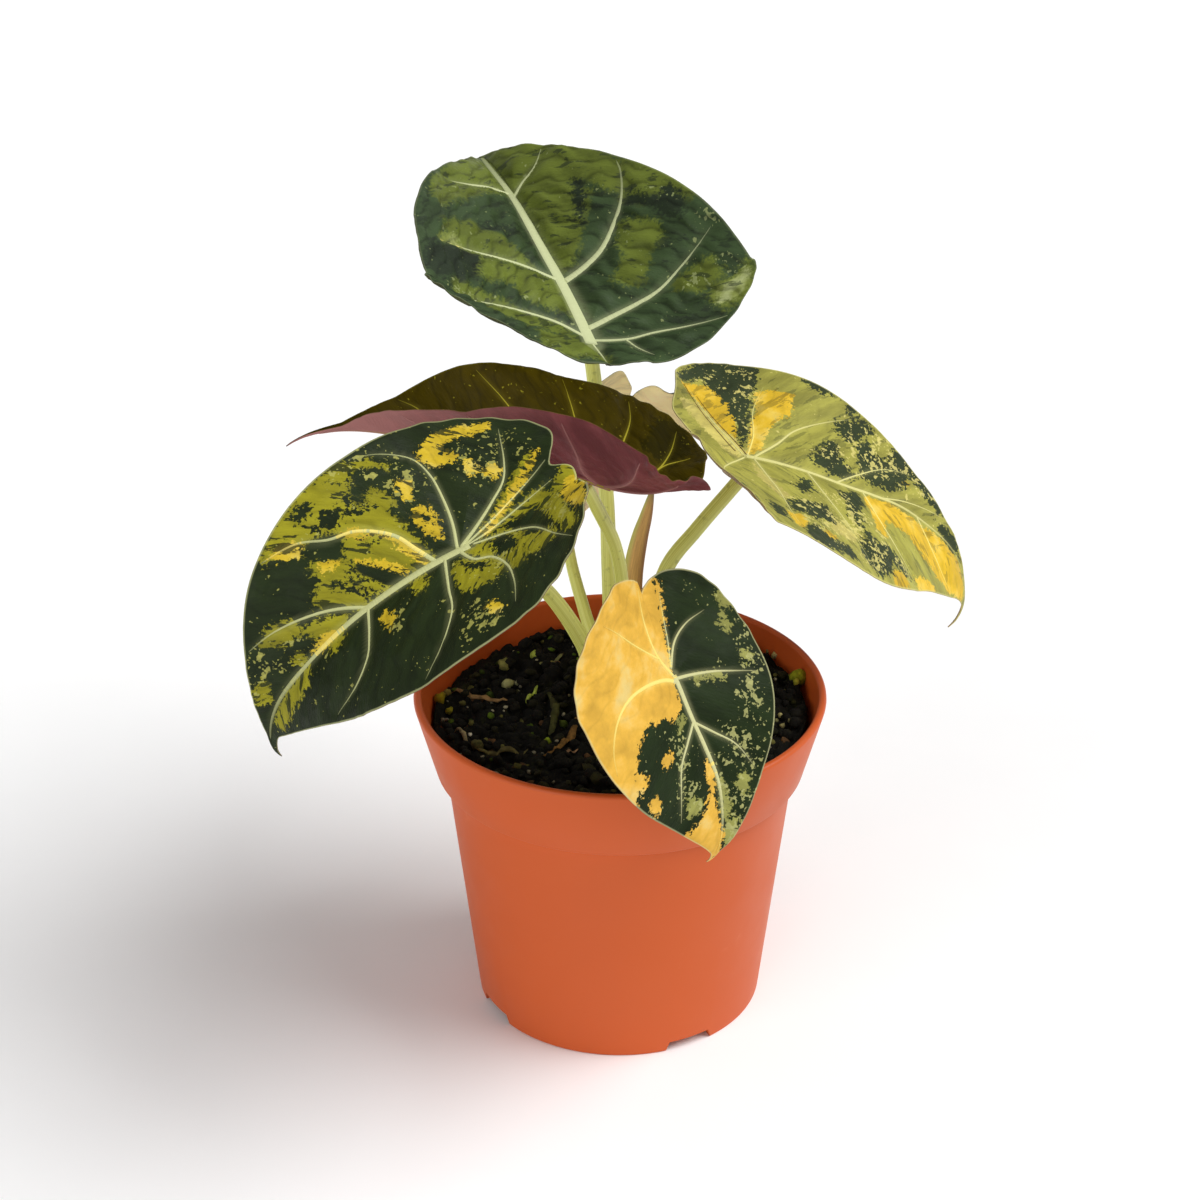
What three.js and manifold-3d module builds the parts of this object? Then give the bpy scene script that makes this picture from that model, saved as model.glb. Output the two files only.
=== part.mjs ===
// Potted variegated black velvet alocasia: a tapered nursery pot, soil, a short crown, six leaf
// blades on their petioles and one papery sheath. Millimetres, +Z up, the viewer stands at -Y.
import * as THREE from 'three';
import { mergeVertices } from 'three/addons/utils/BufferGeometryUtils.js';
import Module from 'manifold-3d';

const wasm = await Module();
wasm.setup();

// Driving dimensions
const GAP = 0.3; // clearance between neighbouring pieces
const POT_AXIS = [-3.3, 0.7]; // pot axis seen from the middle of the whole plant's box
const POT_HEIGHT = 100;
const RIM_RADIUS = 60;
const BASE_RADIUS = 42.4;
const WALL = 1.4;
const COLLAR = { bottom: 77.5, radius: 54.2, stepBottom: 75.2, stepRadius: 51, edge: 0.8 };
const LIP = { width: 2.4, steps: 4 }; // rounded rim
const FOOT = { height: 3.2, width: 2.4, edge: 0.6 };
const INNER_BASE = BASE_RADIUS - 1.2; // radius inside, at the floor
const FLOOR = FOOT.height + WALL;
const NOTCH = { count: 4, first: -61, width: 22, height: 3.2, taper: 1.6, depth: 12 }; // degrees
const DRAIN = { radius: 4, ring: 29, sides: 20 };
const POT_SIDES = 72;

const SOIL = { level: 91.5, sides: 40, rings: 9, slopeX: 0.035, slopeY: 0.015, lowest: 87.2 };
const CLODS = [0.75, 0.5, 0.35]; // heights of the three waves that make the clods
const BARK = { count: 12, reach: 44, length: 8, spread: 8, thin: 1, thick: 1.4 };
const GRAIN = { count: 34, reach: 50, size: 0.9, spread: 0.9 };
const BARE_RING = 5; // the soil's bits keep this far from the crown
const CROWN = { x: 0, y: 4, radius: 12.5, bottom: 80, shoulder: 90, top: 98.5, sides: 28, steps: 5 };

const BLADE = { thickness: 0.9, rib: 1.0, ribWidth: 1.8 };
const NECK = { sink: 0.8, gap: 0.35 }; // the petiole's end below its blade
const HALF_SAMPLES = 23; // outline points from tip to sinus on one side
const RINGS = [0.28, 0.52, 0.74, 0.9, 1];
const MIDRIB_STEP = 1 / 60;
const TIP_START = 0.75; // share of the length where the extra tip droop begins
const TAIL_POWER = 1.5;
const WAVE_INSIDE = 0.25; // share of the half width over which a wave grows from the midrib
const OUTER_SHARE = 1.15;

const POT_COLOUR = 0xc4623a;
const SOIL_COLOUR = 0x1d1611;
const CROWN_COLOUR = 0x8f8a52;
const PETIOLE_COLOUR = 0xa9a763;
const SHEATH_COLOUR = 0x997a46;

const degrees = THREE.MathUtils.degToRad;

// A leaf's flat outline, one side, from tip to sinus: share of the half width and of the length
// ahead of the junction (or of the lobe behind it).
const HALF_OUTLINE = [
  [0, 1], [0.05, 0.945], [0.16, 0.86], [0.4, 0.69], [0.66, 0.5], [0.87, 0.27], [0.985, 0],
  [0.99, -0.3], [0.9, -0.6], [0.7, -0.85], [0.44, -0.98], [0.2, -0.985], [0.06, -0.985], [0, -1],
];
const SINUS_FOLLOW = 0.45; // how far the point beside the sinus goes with the sinus's depth

// Each leaf: where its petiole meets the blade, which way the midrib heads (degrees clockwise
// from +Y), its pitch and roll, its sizes, and the bends that shape it (degrees).
const LEAVES = {
  top: {
    colour: 0x46542c,
    junction: [-8.1, 28, 198.2],
    heading: -19.5, pitch: 21.3, roll: -3.2,
    length: 104.5, lobe: 19.1, leftLobe: 0.97, left: 63.1, right: 52.2, sinus: 0.8, tail: 1,
    foldLeft: 17.4, foldRight: 8.4, curlLeft: 24.2, curlRight: 43.5, foldChange: 19.7,
    droop: 17.4, tipDroop: 21.9, lobeDroop: -27.9, twist: -17.7,
    wave: { height: 1.33, count: 5.8, phase: -22.7 },
  },
  front_left: {
    colour: 0x37432c,
    junction: [-40.8, -88, 190.7],
    heading: -111.8, pitch: -16.7, roll: 24,
    length: 81.9, lobe: 36.3, leftLobe: 1.02, left: 40.2, right: 38.8, sinus: 0.94, tail: 7.4,
    notch: { at: 16.5, width: 5.5, depth: 0.15 },
    foldLeft: 18.4, foldRight: 11.2, curlLeft: 11.4, curlRight: 2.3, foldChange: 3.3,
    droop: 70.1, tipDroop: 17.8, lobeDroop: -17.6, twist: -45.6,
    wave: { height: 2.7, count: 3.84, phase: -102 },
  },
  right: {
    colour: 0xa3993f,
    junction: [36.5, 22, 163.4],
    heading: 84.1, pitch: -11.5, roll: -7.8,
    length: 94.1, lobe: 23.7, leftLobe: 1.06, left: 46.6, right: 53.8, sinus: 0.8, tail: 6.1,
    foldLeft: 1.3, foldRight: 9.9, curlLeft: 8.2, curlRight: 5.6, foldChange: -10.3,
    droop: 52.5, tipDroop: 43.6, lobeDroop: -40.9, twist: 25.1,
    wave: { height: 1.11, count: 6.75, phase: 209.6 },
  },
  front: {
    colour: 0x7e7a33,
    junction: [14.4, -58, 135.9],
    heading: 132.5, pitch: -52.1, roll: -1.5,
    length: 55.1, lobe: 31.6, leftLobe: 0.88, left: 29.7, right: 39.3, sinus: 0.9, tail: 3,
    foldLeft: 3.7, foldRight: 7.2, curlLeft: 5.9, curlRight: -2.1, foldChange: -2.7,
    droop: 41.1, tipDroop: 31.2, lobeDroop: -17.8, twist: 21.3,
    wave: { height: 1.03, count: 5.49, phase: 100.9 },
  },
  back_left: {
    colour: 0x4a3d1c,
    junction: [-4.7, -28, 179],
    heading: -90.6, pitch: 21.7, roll: -0.9,
    length: 76.7, lobe: 30.2, leftLobe: 1.01, left: 42, right: 41.4, sinus: 0.85, tail: 12,
    foldLeft: 29.2, foldRight: 23.9, curlLeft: 21.4, curlRight: -18.1, foldChange: 23.9,
    droop: 15.4, tipDroop: 15.6, lobeDroop: -44.6, twist: -3.8,
    wave: { height: 1.93, count: 6.31, phase: 181.9 },
  },
  back: {
    colour: 0xb49a72,
    junction: [-2.2, 66, 152.9],
    heading: -30.2, pitch: -54.7, roll: -13.4,
    length: 43.8, lobe: 28.6, leftLobe: 1.12, left: 38.1, right: 25.5, sinus: 0.56, tail: 1.6,
    foldLeft: 9.3, foldRight: 1.8, curlLeft: -0.6, curlRight: -12.2, foldChange: 1.4,
    droop: 20, tipDroop: 10, lobeDroop: 12.8, twist: -0.4,
    wave: { height: 2.14, count: 6.3, phase: 41.9 },
  },
};

// Petiole centre lines between the crown and the blade, and radii at foot and top
const PETIOLES = {
  top: {
    foot: 2.9, neck: 2.1, meets: 1,
    path: [[-2, 13, 91], [-2.4, 12.4, 112], [-3.2, 15, 134], [-3.9, 20, 152], [-5.8, 24, 172]],
  },
  front_left: {
    foot: 2.9, neck: 2, meets: 2,
    path: [[-7.7, 0.4, 91], [-9.2, -2.6, 112], [-12.1, -6, 121.3], [-20.4, -20, 142.3], [-31.1, -50, 167]],
  },
  right: {
    foot: 2.9, neck: 2.1, meets: 2,
    path: [[8.5, 5.5, 91], [8.3, 6.6, 112], [13.5, 9, 135], [22.1, 13, 145.4], [32, 18.6, 155.4]],
  },
  front: {
    foot: 2.7, neck: 1.8, meets: 1,
    path: [[5, -4.5, 91], [6, -9, 106], [8.6, -22, 121], [11.6, -40, 131]],
  },
  back_left: {
    foot: 2.8, neck: 1.9, meets: 5,
    path: [[-1.5, -5, 91], [0.4, -5, 113], [0.5, -6, 135.6], [-1.6, -11, 152], [-6.4, -20, 168]],
  },
  back: {
    foot: 2.3, neck: 1.65, meets: 1,
    path: [
      [-7.7, 7.6, 91], [-7, 10, 107.3], [-10.2, 15, 117], [-14.6, 26, 130], [-16, 40, 139.5], [-12, 54, 146],
    ],
  },
};
const SHEATH = {
  foot: 3.1, tip: 0.45, flat: 0.55, taper: 5,
  path: [[5, 12, 91], [3.6, 13, 112], [3.7, 13, 130], [5.5, 13, 142], [7.5, 13, 150], [9.3, 13, 158.5]],
};

const material = (colour, roughness) => new THREE.MeshStandardMaterial({
  color: colour, roughness, metalness: 0, side: THREE.FrontSide,
});

function mesh(name, geometry, colour, roughness) {
  geometry.computeVertexNormals();
  const piece = new THREE.Mesh(geometry, material(colour, roughness));
  piece.name = name;
  return piece;
}

// Joining and cutting
function toSolid(geometry) {
  const bare = geometry.clone();
  bare.deleteAttribute('normal');
  bare.deleteAttribute('uv');
  const merged = mergeVertices(bare, 1e-4);
  return new wasm.Manifold(new wasm.Mesh({
    numProp: 3,
    vertProperties: new Float32Array(merged.attributes.position.array),
    triVerts: new Uint32Array(merged.index.array),
  }));
}

function toGeometry(solid) {
  const result = solid.getMesh();
  const geometry = new THREE.BufferGeometry();
  geometry.setAttribute('position', new THREE.BufferAttribute(new Float32Array(result.vertProperties), 3));
  geometry.setIndex(new THREE.BufferAttribute(new Uint32Array(result.triVerts), 1));
  return geometry;
}

function largest(solid) {
  return solid.decompose().reduce((best, body) => (body.volume() > best.volume() ? body : best));
}

// A lathe about +Z from [radius, height] points
function turned(profile, sides) {
  const points = profile.map(([radius, height]) => new THREE.Vector2(radius, height));
  return new THREE.LatheGeometry(points, sides).rotateX(Math.PI / 2);
}

// Seeded draws, so that the soil is the same every time
function seeded(seed) {
  let state = seed;
  return () => {
    state = (state * 1664525 + 1013904223) % 4294967296;
    return state / 4294967296;
  };
}

// Points on an arc, angles in degrees
function arc(centreR, centreZ, radiusR, radiusZ, from, to, steps) {
  return Array.from({ length: steps + 1 }, (_, i) => {
    const angle = degrees(from + ((to - from) * i) / steps);
    return [centreR + radiusR * Math.cos(angle), centreZ + radiusZ * Math.sin(angle)];
  });
}

// Pot: foot ring, tapered wall, a collar that steps out, a rounded lip, and the same inside
function potGeometry() {
  const half = LIP.width / 2;
  const profile = [
    [0, FOOT.height], [BASE_RADIUS - FOOT.width, FOOT.height], [BASE_RADIUS - FOOT.width, 0],
    [BASE_RADIUS - FOOT.edge, 0], [BASE_RADIUS, FOOT.edge],
    [COLLAR.stepRadius, COLLAR.stepBottom],
    [COLLAR.radius - COLLAR.edge, COLLAR.bottom - COLLAR.edge], [COLLAR.radius, COLLAR.bottom],
    ...arc(RIM_RADIUS - half, POT_HEIGHT - half, half, half, 0, 180, LIP.steps),
    [COLLAR.radius - WALL, COLLAR.bottom], [COLLAR.stepRadius - WALL, COLLAR.stepBottom],
    [INNER_BASE, FLOOR + FOOT.edge], [INNER_BASE - FOOT.edge, FLOOR], [0, FLOOR],
  ];
  let pot = toSolid(turned(profile, POT_SIDES));
  const run = (BASE_RADIUS * degrees(NOTCH.width)) / 2;
  for (let i = 0; i < NOTCH.count; i += 1) {
    const turn = degrees(NOTCH.first + (i * 360) / NOTCH.count);
    const side = new THREE.Shape([
      new THREE.Vector2(-run, -WALL), new THREE.Vector2(run, -WALL),
      new THREE.Vector2(run - NOTCH.taper, NOTCH.height), new THREE.Vector2(NOTCH.taper - run, NOTCH.height),
    ]);
    const notch = new THREE.ExtrudeGeometry(side, { depth: NOTCH.depth, bevelEnabled: false })
      .rotateX(Math.PI / 2).rotateZ(Math.PI / 2)
      .translate(BASE_RADIUS - NOTCH.depth / 2 - FOOT.width, 0, 0).rotateZ(turn);
    const drain = new THREE.CylinderGeometry(DRAIN.radius, DRAIN.radius, 2 * FLOOR, DRAIN.sides)
      .rotateX(Math.PI / 2).translate(DRAIN.ring, 0, FLOOR).rotateZ(turn);
    pot = pot.subtract(toSolid(notch)).subtract(toSolid(drain));
  }
  return toGeometry(pot);
}

// Soil: a turned plug with a clodded top, bark strips and perlite grains sunk into it, and a
// plain hole for the crown.
function soilHeight(x, y) {
  const [broad, slanted, fine] = CLODS;
  const clods = broad * Math.sin(0.31 * x + 1.1) * Math.cos(0.27 * y - 0.4)
    + slanted * Math.sin(0.62 * x - 0.45 * y) + fine * Math.cos(0.55 * x + 0.8 * y + 2);
  return SOIL.level + SOIL.slopeX * x + SOIL.slopeY * y + clods;
}

// Inside radius of the pot at a height, along its lower wall or its collar
function insideRadius(height) {
  const lower = (COLLAR.stepRadius - WALL - INNER_BASE) / (COLLAR.stepBottom - FLOOR - FOOT.edge);
  const lipFoot = POT_HEIGHT - LIP.width / 2;
  const collar = (RIM_RADIUS - LIP.width - COLLAR.radius + WALL) / (lipFoot - COLLAR.bottom);
  return height < COLLAR.stepBottom
    ? INNER_BASE + lower * (height - FLOOR - FOOT.edge)
    : COLLAR.radius - WALL + collar * (height - COLLAR.bottom);
}

function soilGeometry() {
  const room = GAP + 0.1; // a little more than the gap, because both walls are faceted
  const bottom = FLOOR + GAP;
  const bend = COLLAR.stepBottom - 1;
  const topRadius = insideRadius(SOIL.lowest) - room;
  const profile = [
    [0, bottom], [INNER_BASE - FOOT.edge - room, bottom],
    [insideRadius(bend) - room, bend], [insideRadius(COLLAR.bottom) - 2 * WALL, COLLAR.bottom + 1],
  ];
  for (let i = SOIL.rings; i >= 0; i -= 1) profile.push([(topRadius * i) / SOIL.rings, SOIL.level]);
  const plug = turned(profile, SOIL.sides);
  const spot = plug.attributes.position;
  for (let i = 0; i < spot.count; i += 1) {
    if (spot.getZ(i) > SOIL.level - 1) spot.setZ(i, soilHeight(spot.getX(i), spot.getY(i)));
  }
  let soil = toSolid(plug);
  const draw = seeded(7);
  const place = (reach) => {
    const turn = draw() * 2 * Math.PI;
    const nearest = CROWN.radius + BARE_RING;
    const out = nearest + (reach - nearest) * Math.sqrt(draw());
    return [out * Math.cos(turn), out * Math.sin(turn)];
  };
  for (let i = 0; i < BARK.count; i += 1) {
    const [x, y] = place(BARK.reach);
    const length = BARK.length + BARK.spread * draw();
    const strip = new THREE.CylinderGeometry(BARK.thin, BARK.thick, length, 5).scale(1.3, 1, 0.8)
      .rotateZ(degrees(84 + 10 * draw())).rotateZ(draw() * Math.PI);
    soil = soil.add(toSolid(strip.translate(x, y, soilHeight(x, y))));
  }
  for (let i = 0; i < GRAIN.count; i += 1) {
    const [x, y] = place(GRAIN.reach);
    const grain = new THREE.OctahedronGeometry(GRAIN.size + GRAIN.spread * draw())
      .rotateX(draw() * Math.PI).rotateY(draw() * Math.PI);
    soil = soil.add(toSolid(grain.translate(x, y, soilHeight(x, y))));
  }
  const depth = POT_HEIGHT - CROWN.bottom;
  const hole = new THREE.CylinderGeometry(CROWN.radius + GAP, CROWN.radius + GAP, 2 * depth, CROWN.sides)
    .rotateX(Math.PI / 2).translate(CROWN.x, CROWN.y, CROWN.bottom - GAP + depth);
  return toGeometry(largest(soil.subtract(toSolid(hole))));
}

// Crown: the short domed stem that all petioles grow from
function crownGeometry(grow = 0) {
  const radius = CROWN.radius + grow;
  const dome = arc(0, CROWN.shoulder, radius, CROWN.top - CROWN.shoulder + grow, 0, 90, CROWN.steps);
  dome[dome.length - 1][0] = 0;
  const profile = [[0, CROWN.bottom - grow], [radius, CROWN.bottom - grow], ...dome];
  return turned(profile, CROWN.sides).translate(CROWN.x, CROWN.y, 0);
}

// Outline of a leaf in its own plane: x to the right of the midrib, y toward the tip
function leafOutline(leaf) {
  const knots = HALF_OUTLINE.map((pair) => pair.slice());
  const last = knots.length - 1;
  knots[last][1] *= leaf.sinus;
  knots[last - 1][1] *= SINUS_FOLLOW * leaf.sinus + 1 - SINUS_FOLLOW;
  const knot = (i) => {
    if (i < 0) return [-knots[1][0], knots[1][1]];
    if (i > last) return [-knots[last - 1][0], knots[last - 1][1]];
    return knots[i];
  };
  const side = (sign) => {
    const halfWidth = sign > 0 ? leaf.right : leaf.left;
    const lobe = leaf.lobe * (sign > 0 ? 1 : leaf.leftLobe);
    const points = [];
    for (let j = 0; j < HALF_SAMPLES; j += 1) {
      const along = (j * last) / (HALF_SAMPLES - 1);
      const i = Math.min(Math.floor(along), last - 1);
      const f = along - i;
      const [a, b, c, d] = [knot(i - 1), knot(i), knot(i + 1), knot(i + 2)];
      const smooth = (k) => 0.5 * (2 * b[k] + (c[k] - a[k]) * f
        + (2 * a[k] - 5 * b[k] + 4 * c[k] - d[k]) * f * f + (3 * b[k] - a[k] - 3 * c[k] + d[k]) * f ** 3);
      const across = smooth(0);
      const ahead = smooth(1);
      const tail = leaf.tail * Math.max(0, 1 - along) ** TAIL_POWER;
      points.push([sign * halfWidth * across, ahead * (ahead > 0 ? leaf.length : lobe) + tail]);
    }
    return points;
  };
  const right = side(1);
  const left = side(-1).slice(1, -1).reverse();
  return [...right, ...left].map(([x, y]) => [x * notchShare(leaf, x, y), y * notchShare(leaf, x, y)]);
}

// What the outline keeps of its reach at a point: less inside the notch of a leaf that has one,
// told in degrees round the junction from straight behind toward the right
function notchShare(leaf, x, y) {
  if (!leaf.notch) return 1;
  const off = THREE.MathUtils.radToDeg(Math.atan2(x, -y)) - leaf.notch.at;
  return 1 - leaf.notch.depth * Math.exp(-((off / leaf.notch.width) ** 2));
}

// Midrib bend: turn of the tangent at a share s of the length, summed into a curve
function midribAt(leaf, y) {
  const ahead = y >= 0;
  const reach = ahead ? leaf.length : leaf.lobe;
  const share = Math.abs(y) / reach;
  const turn = (s) => (ahead
    ? -degrees(leaf.droop) * s - degrees(leaf.tipDroop) * Math.max(0, (s - TIP_START) / (1 - TIP_START)) ** 2
    : degrees(leaf.lobeDroop) * s);
  let forward = 0;
  let up = 0;
  for (let s = 0; s < share; s += MIDRIB_STEP) {
    const step = Math.min(MIDRIB_STEP, share - s);
    const middle = turn(s + step / 2);
    forward += step * Math.cos(middle);
    up += step * Math.sin(middle);
  }
  const sign = ahead ? 1 : -1;
  return { forward: sign * forward * reach, up: sign * up * reach, turn: turn(share) };
}

// A point of the blade's middle surface, bent in its own frame and then placed on the plant
function leafPoint(leaf, x, y) {
  const right = x > 0;
  const halfWidth = right ? leaf.right : leaf.left;
  const fold = degrees(right ? leaf.foldRight : leaf.foldLeft) + degrees(leaf.foldChange) * (y / leaf.length);
  const curl = degrees(right ? leaf.curlRight : leaf.curlLeft) / halfWidth;
  const out = Math.abs(x);
  const across = (Math.sign(x) * (Math.sin(fold + curl * out) - Math.sin(fold))) / curl;
  const rise = (Math.cos(fold) - Math.cos(fold + curl * out)) / curl;
  const twist = (degrees(leaf.twist) * y) / leaf.length;
  const sideways = across * Math.cos(twist) + rise * Math.sin(twist);
  const round = Math.atan2(x / leaf.right, y / leaf.length);
  const reach = y > 0 ? leaf.length : leaf.lobe;
  const share = Math.min(OUTER_SHARE, Math.hypot(x / halfWidth, y / reach));
  const wave = leaf.wave.height * share ** 3 * Math.min(1, out / (WAVE_INSIDE * leaf.right))
    * Math.sin(leaf.wave.count * round + degrees(leaf.wave.phase));
  const height = rise * Math.cos(twist) - across * Math.sin(twist) + wave;
  const rib = midribAt(leaf, y);
  const local = new THREE.Vector3(
    sideways,
    rib.forward - Math.sin(rib.turn) * height,
    rib.up + Math.cos(rib.turn) * height,
  );
  return local.applyMatrix4(leafFrame(leaf));
}

function leafFrame(leaf) {
  const heading = degrees(leaf.heading);
  const pitch = degrees(leaf.pitch);
  const roll = degrees(leaf.roll);
  const ahead = new THREE.Vector3(
    Math.sin(heading) * Math.cos(pitch), Math.cos(heading) * Math.cos(pitch), Math.sin(pitch),
  );
  const level = new THREE.Vector3(Math.cos(heading), -Math.sin(heading), 0);
  const up = new THREE.Vector3().crossVectors(level, ahead);
  const side = level.clone().multiplyScalar(Math.cos(roll)).addScaledVector(up, Math.sin(roll));
  const normal = up.multiplyScalar(Math.cos(roll)).addScaledVector(level, -Math.sin(roll));
  return new THREE.Matrix4().makeBasis(side, ahead, normal).setPosition(...leaf.junction);
}

function leafNormal(leaf, x, y) {
  const d = 0.4;
  const across = leafPoint(leaf, x + d, y).sub(leafPoint(leaf, x - d, y));
  const along = leafPoint(leaf, x, y + d).sub(leafPoint(leaf, x, y - d));
  return across.cross(along).normalize();
}

// Blade: rings of points from the junction to the outline, the same on both faces, with the
// midrib thickened below
function bladeGeometry(leaf, grow = 0) {
  const outline = leafOutline(leaf);
  const count = outline.length;
  const flat = [[0, 0]];
  for (const ring of RINGS) for (const [x, y] of outline) flat.push([x * ring, y * ring]);
  const upper = [];
  const lower = [];
  for (const [x, y] of flat) {
    const middle = leafPoint(leaf, x, y);
    const normal = leafNormal(leaf, x, y);
    const fade = Math.max(0, 1 - Math.max(y / leaf.length, -y / leaf.lobe) ** 2);
    const rib = BLADE.rib * Math.exp(-((x / BLADE.ribWidth) ** 2)) * fade;
    upper.push(middle.clone().addScaledVector(normal, BLADE.thickness / 2 + grow));
    lower.push(middle.clone().addScaledVector(normal, -BLADE.thickness / 2 - rib - grow));
  }
  const faces = [];
  const at = (ring, i) => 1 + ring * count + (i % count);
  for (let i = 0; i < count; i += 1) {
    faces.push([0, at(0, i + 1), at(0, i)]);
    for (let ring = 0; ring + 1 < RINGS.length; ring += 1) {
      const [a, b, c, d] = [at(ring, i), at(ring, i + 1), at(ring + 1, i + 1), at(ring + 1, i)];
      faces.push([a, b, c], [a, c, d]);
    }
  }
  const index = [];
  const under = flat.length;
  for (const [a, b, c] of faces) index.push(a, b, c, under + a, under + c, under + b);
  const rim = RINGS.length - 1;
  for (let i = 0; i < count; i += 1) {
    const a = at(rim, i);
    const b = at(rim, i + 1);
    index.push(a, b, under + b, a, under + b, under + a);
  }
  const geometry = new THREE.BufferGeometry();
  const spots = [...upper, ...lower].flatMap((p) => [p.x, p.y, p.z]);
  geometry.setAttribute('position', new THREE.Float32BufferAttribute(spots, 3));
  geometry.setIndex(index);
  return geometry;
}

// A stalk along a curve, its radius given by the share of the way, flattened across if asked
function stalkGeometry(points, radiusAt, { sides = 8, steps = 16, flat = 1 } = {}) {
  const curve = new THREE.CatmullRomCurve3(points.map((p) => new THREE.Vector3(...p)), false, 'centripetal');
  const spots = [];
  const index = [];
  for (let i = 0; i <= steps; i += 1) {
    const share = i / steps;
    const centre = curve.getPointAt(share);
    const ahead = curve.getTangentAt(share);
    const side = new THREE.Vector3(0, 1, 0).cross(ahead).normalize();
    const out = new THREE.Vector3().crossVectors(ahead, side);
    for (let j = 0; j < sides; j += 1) {
      const turn = (2 * Math.PI * j) / sides;
      const spot = centre.clone()
        .addScaledVector(side, radiusAt(share) * Math.cos(turn))
        .addScaledVector(out, radiusAt(share) * flat * Math.sin(turn));
      spots.push(spot.x, spot.y, spot.z);
    }
  }
  const at = (i, j) => i * sides + (j % sides);
  for (let i = 0; i < steps; i += 1) {
    for (let j = 0; j < sides; j += 1) {
      index.push(at(i, j), at(i, j + 1), at(i + 1, j + 1), at(i, j), at(i + 1, j + 1), at(i + 1, j));
    }
  }
  for (const [end, flip] of [[0, true], [steps, false]]) {
    for (let j = 1; j + 1 < sides; j += 1) {
      const fan = [at(end, 0), at(end, j), at(end, j + 1)];
      index.push(...(flip ? fan.reverse() : fan));
    }
  }
  const geometry = new THREE.BufferGeometry();
  geometry.setAttribute('position', new THREE.Float32BufferAttribute(spots, 3));
  geometry.setIndex(index);
  return geometry;
}

const crownClearance = toSolid(crownGeometry(GAP));

function petioleGeometry(name) {
  const leaf = LEAVES[name];
  const { foot, neck, meets, path } = PETIOLES[name];
  const end = leafPoint(leaf, 0, meets).addScaledVector(leafNormal(leaf, 0, meets), -neck * NECK.sink);
  const radiusAt = (share) => neck + (foot - neck) * (1 - share) ** 3;
  const stalk = stalkGeometry([...path, end.toArray()], radiusAt);
  return toGeometry(toSolid(stalk).subtract(crownClearance).subtract(toSolid(bladeGeometry(leaf, NECK.gap))));
}

function sheathGeometry() {
  const radiusAt = (share) => SHEATH.tip + (SHEATH.foot - SHEATH.tip) * (1 - share ** SHEATH.taper);
  const sheath = stalkGeometry(SHEATH.path, radiusAt, { flat: SHEATH.flat });
  return toGeometry(toSolid(sheath).subtract(crownClearance));
}

// The plant, stood on its pot, about the middle of its own box
const plant = new THREE.Group();
plant.name = 'potted_alocasia';
plant.position.set(POT_AXIS[0], POT_AXIS[1], 0);
plant.add(mesh('pot', potGeometry(), POT_COLOUR, 0.5));
plant.add(mesh('soil', soilGeometry(), SOIL_COLOUR, 0.95));
plant.add(mesh('crown', crownGeometry(), CROWN_COLOUR, 0.6));
for (const name of Object.keys(LEAVES)) {
  const leaf = new THREE.Group();
  leaf.name = `leaf_${name}`;
  leaf.add(mesh(`blade_${name}`, bladeGeometry(LEAVES[name]), LEAVES[name].colour, 0.55));
  leaf.add(mesh(`petiole_${name}`, petioleGeometry(name), PETIOLE_COLOUR, 0.5));
  plant.add(leaf);
}
plant.add(mesh('cataphyll', sheathGeometry(), SHEATH_COLOUR, 0.7));

export default plant;
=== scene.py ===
import math
import random
from types import SimpleNamespace as Values

import bpy
import numpy as np
from mathutils import Euler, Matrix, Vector


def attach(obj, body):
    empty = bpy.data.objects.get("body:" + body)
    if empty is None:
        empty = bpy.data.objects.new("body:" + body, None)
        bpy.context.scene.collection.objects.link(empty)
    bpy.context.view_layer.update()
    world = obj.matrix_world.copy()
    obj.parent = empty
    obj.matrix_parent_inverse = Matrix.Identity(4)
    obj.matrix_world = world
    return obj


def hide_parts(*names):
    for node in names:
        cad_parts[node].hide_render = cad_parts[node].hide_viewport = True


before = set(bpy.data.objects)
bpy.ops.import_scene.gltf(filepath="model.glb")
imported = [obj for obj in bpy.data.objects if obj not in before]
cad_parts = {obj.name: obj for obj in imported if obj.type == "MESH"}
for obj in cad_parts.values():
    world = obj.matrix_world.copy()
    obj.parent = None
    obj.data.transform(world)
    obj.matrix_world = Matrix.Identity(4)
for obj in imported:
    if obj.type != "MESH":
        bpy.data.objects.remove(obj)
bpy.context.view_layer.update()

MM = 0.001
POT_AXIS = (-3.3, 0.7)  # where the pot's axis stands in the row frame

# Camera, fitted to the pot in the photograph
CAMERA = Values(place=(-9.1, -781.9, 544.4), pitch=62.05, lens=92.81, sensor=36.0)

# Studio: sky level, half side of the floor in metres, its two greys, and each lamp's name,
# direction, strength and angle
SKY = 0.33
FLOOR_REACH = 6
PAPER_TONES = ((250, 250, 250), (253, 253, 253))
LAMPS = [("key", (1.0, -0.16, 1.25), 2.75, 46), ("fill", (-0.66, -0.8, 0.22), 1.35, 50)]

# Ranges that noise values mostly lie in, wide and narrow
WIDE = (0.3, 0.7)
NARROW = (0.35, 0.65)

# Pot
POT_HEIGHT = 100.0
RIM_RADIUS = 60.0
BASE_RADIUS = 42.4
WALL = 1.4
LIP = 2.4
COLLAR = Values(bottom=77.5, radius=54.2, step_bottom=75.2, step_radius=51.0, edge=0.8)
COLLAR_EASE = (0.2, 0.35)
FOOT = Values(height=3.2, width=2.4, edge=0.6)
INNER_BASE = BASE_RADIUS - 1.2
FLOOR = FOOT.height + WALL
NOTCH = Values(count=4, first=-61.0, width=22.0, height=3.2, taper=1.6, depth=12.0)
DRAIN = Values(radius=4.0, ring=29.0, sides=40)
POT_SIDES = 288
POT_SHARP = 35
POT_TONES = ((194, 83, 30), (202, 91, 36))
SCUFF_TONE = (226, 140, 100)

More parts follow.
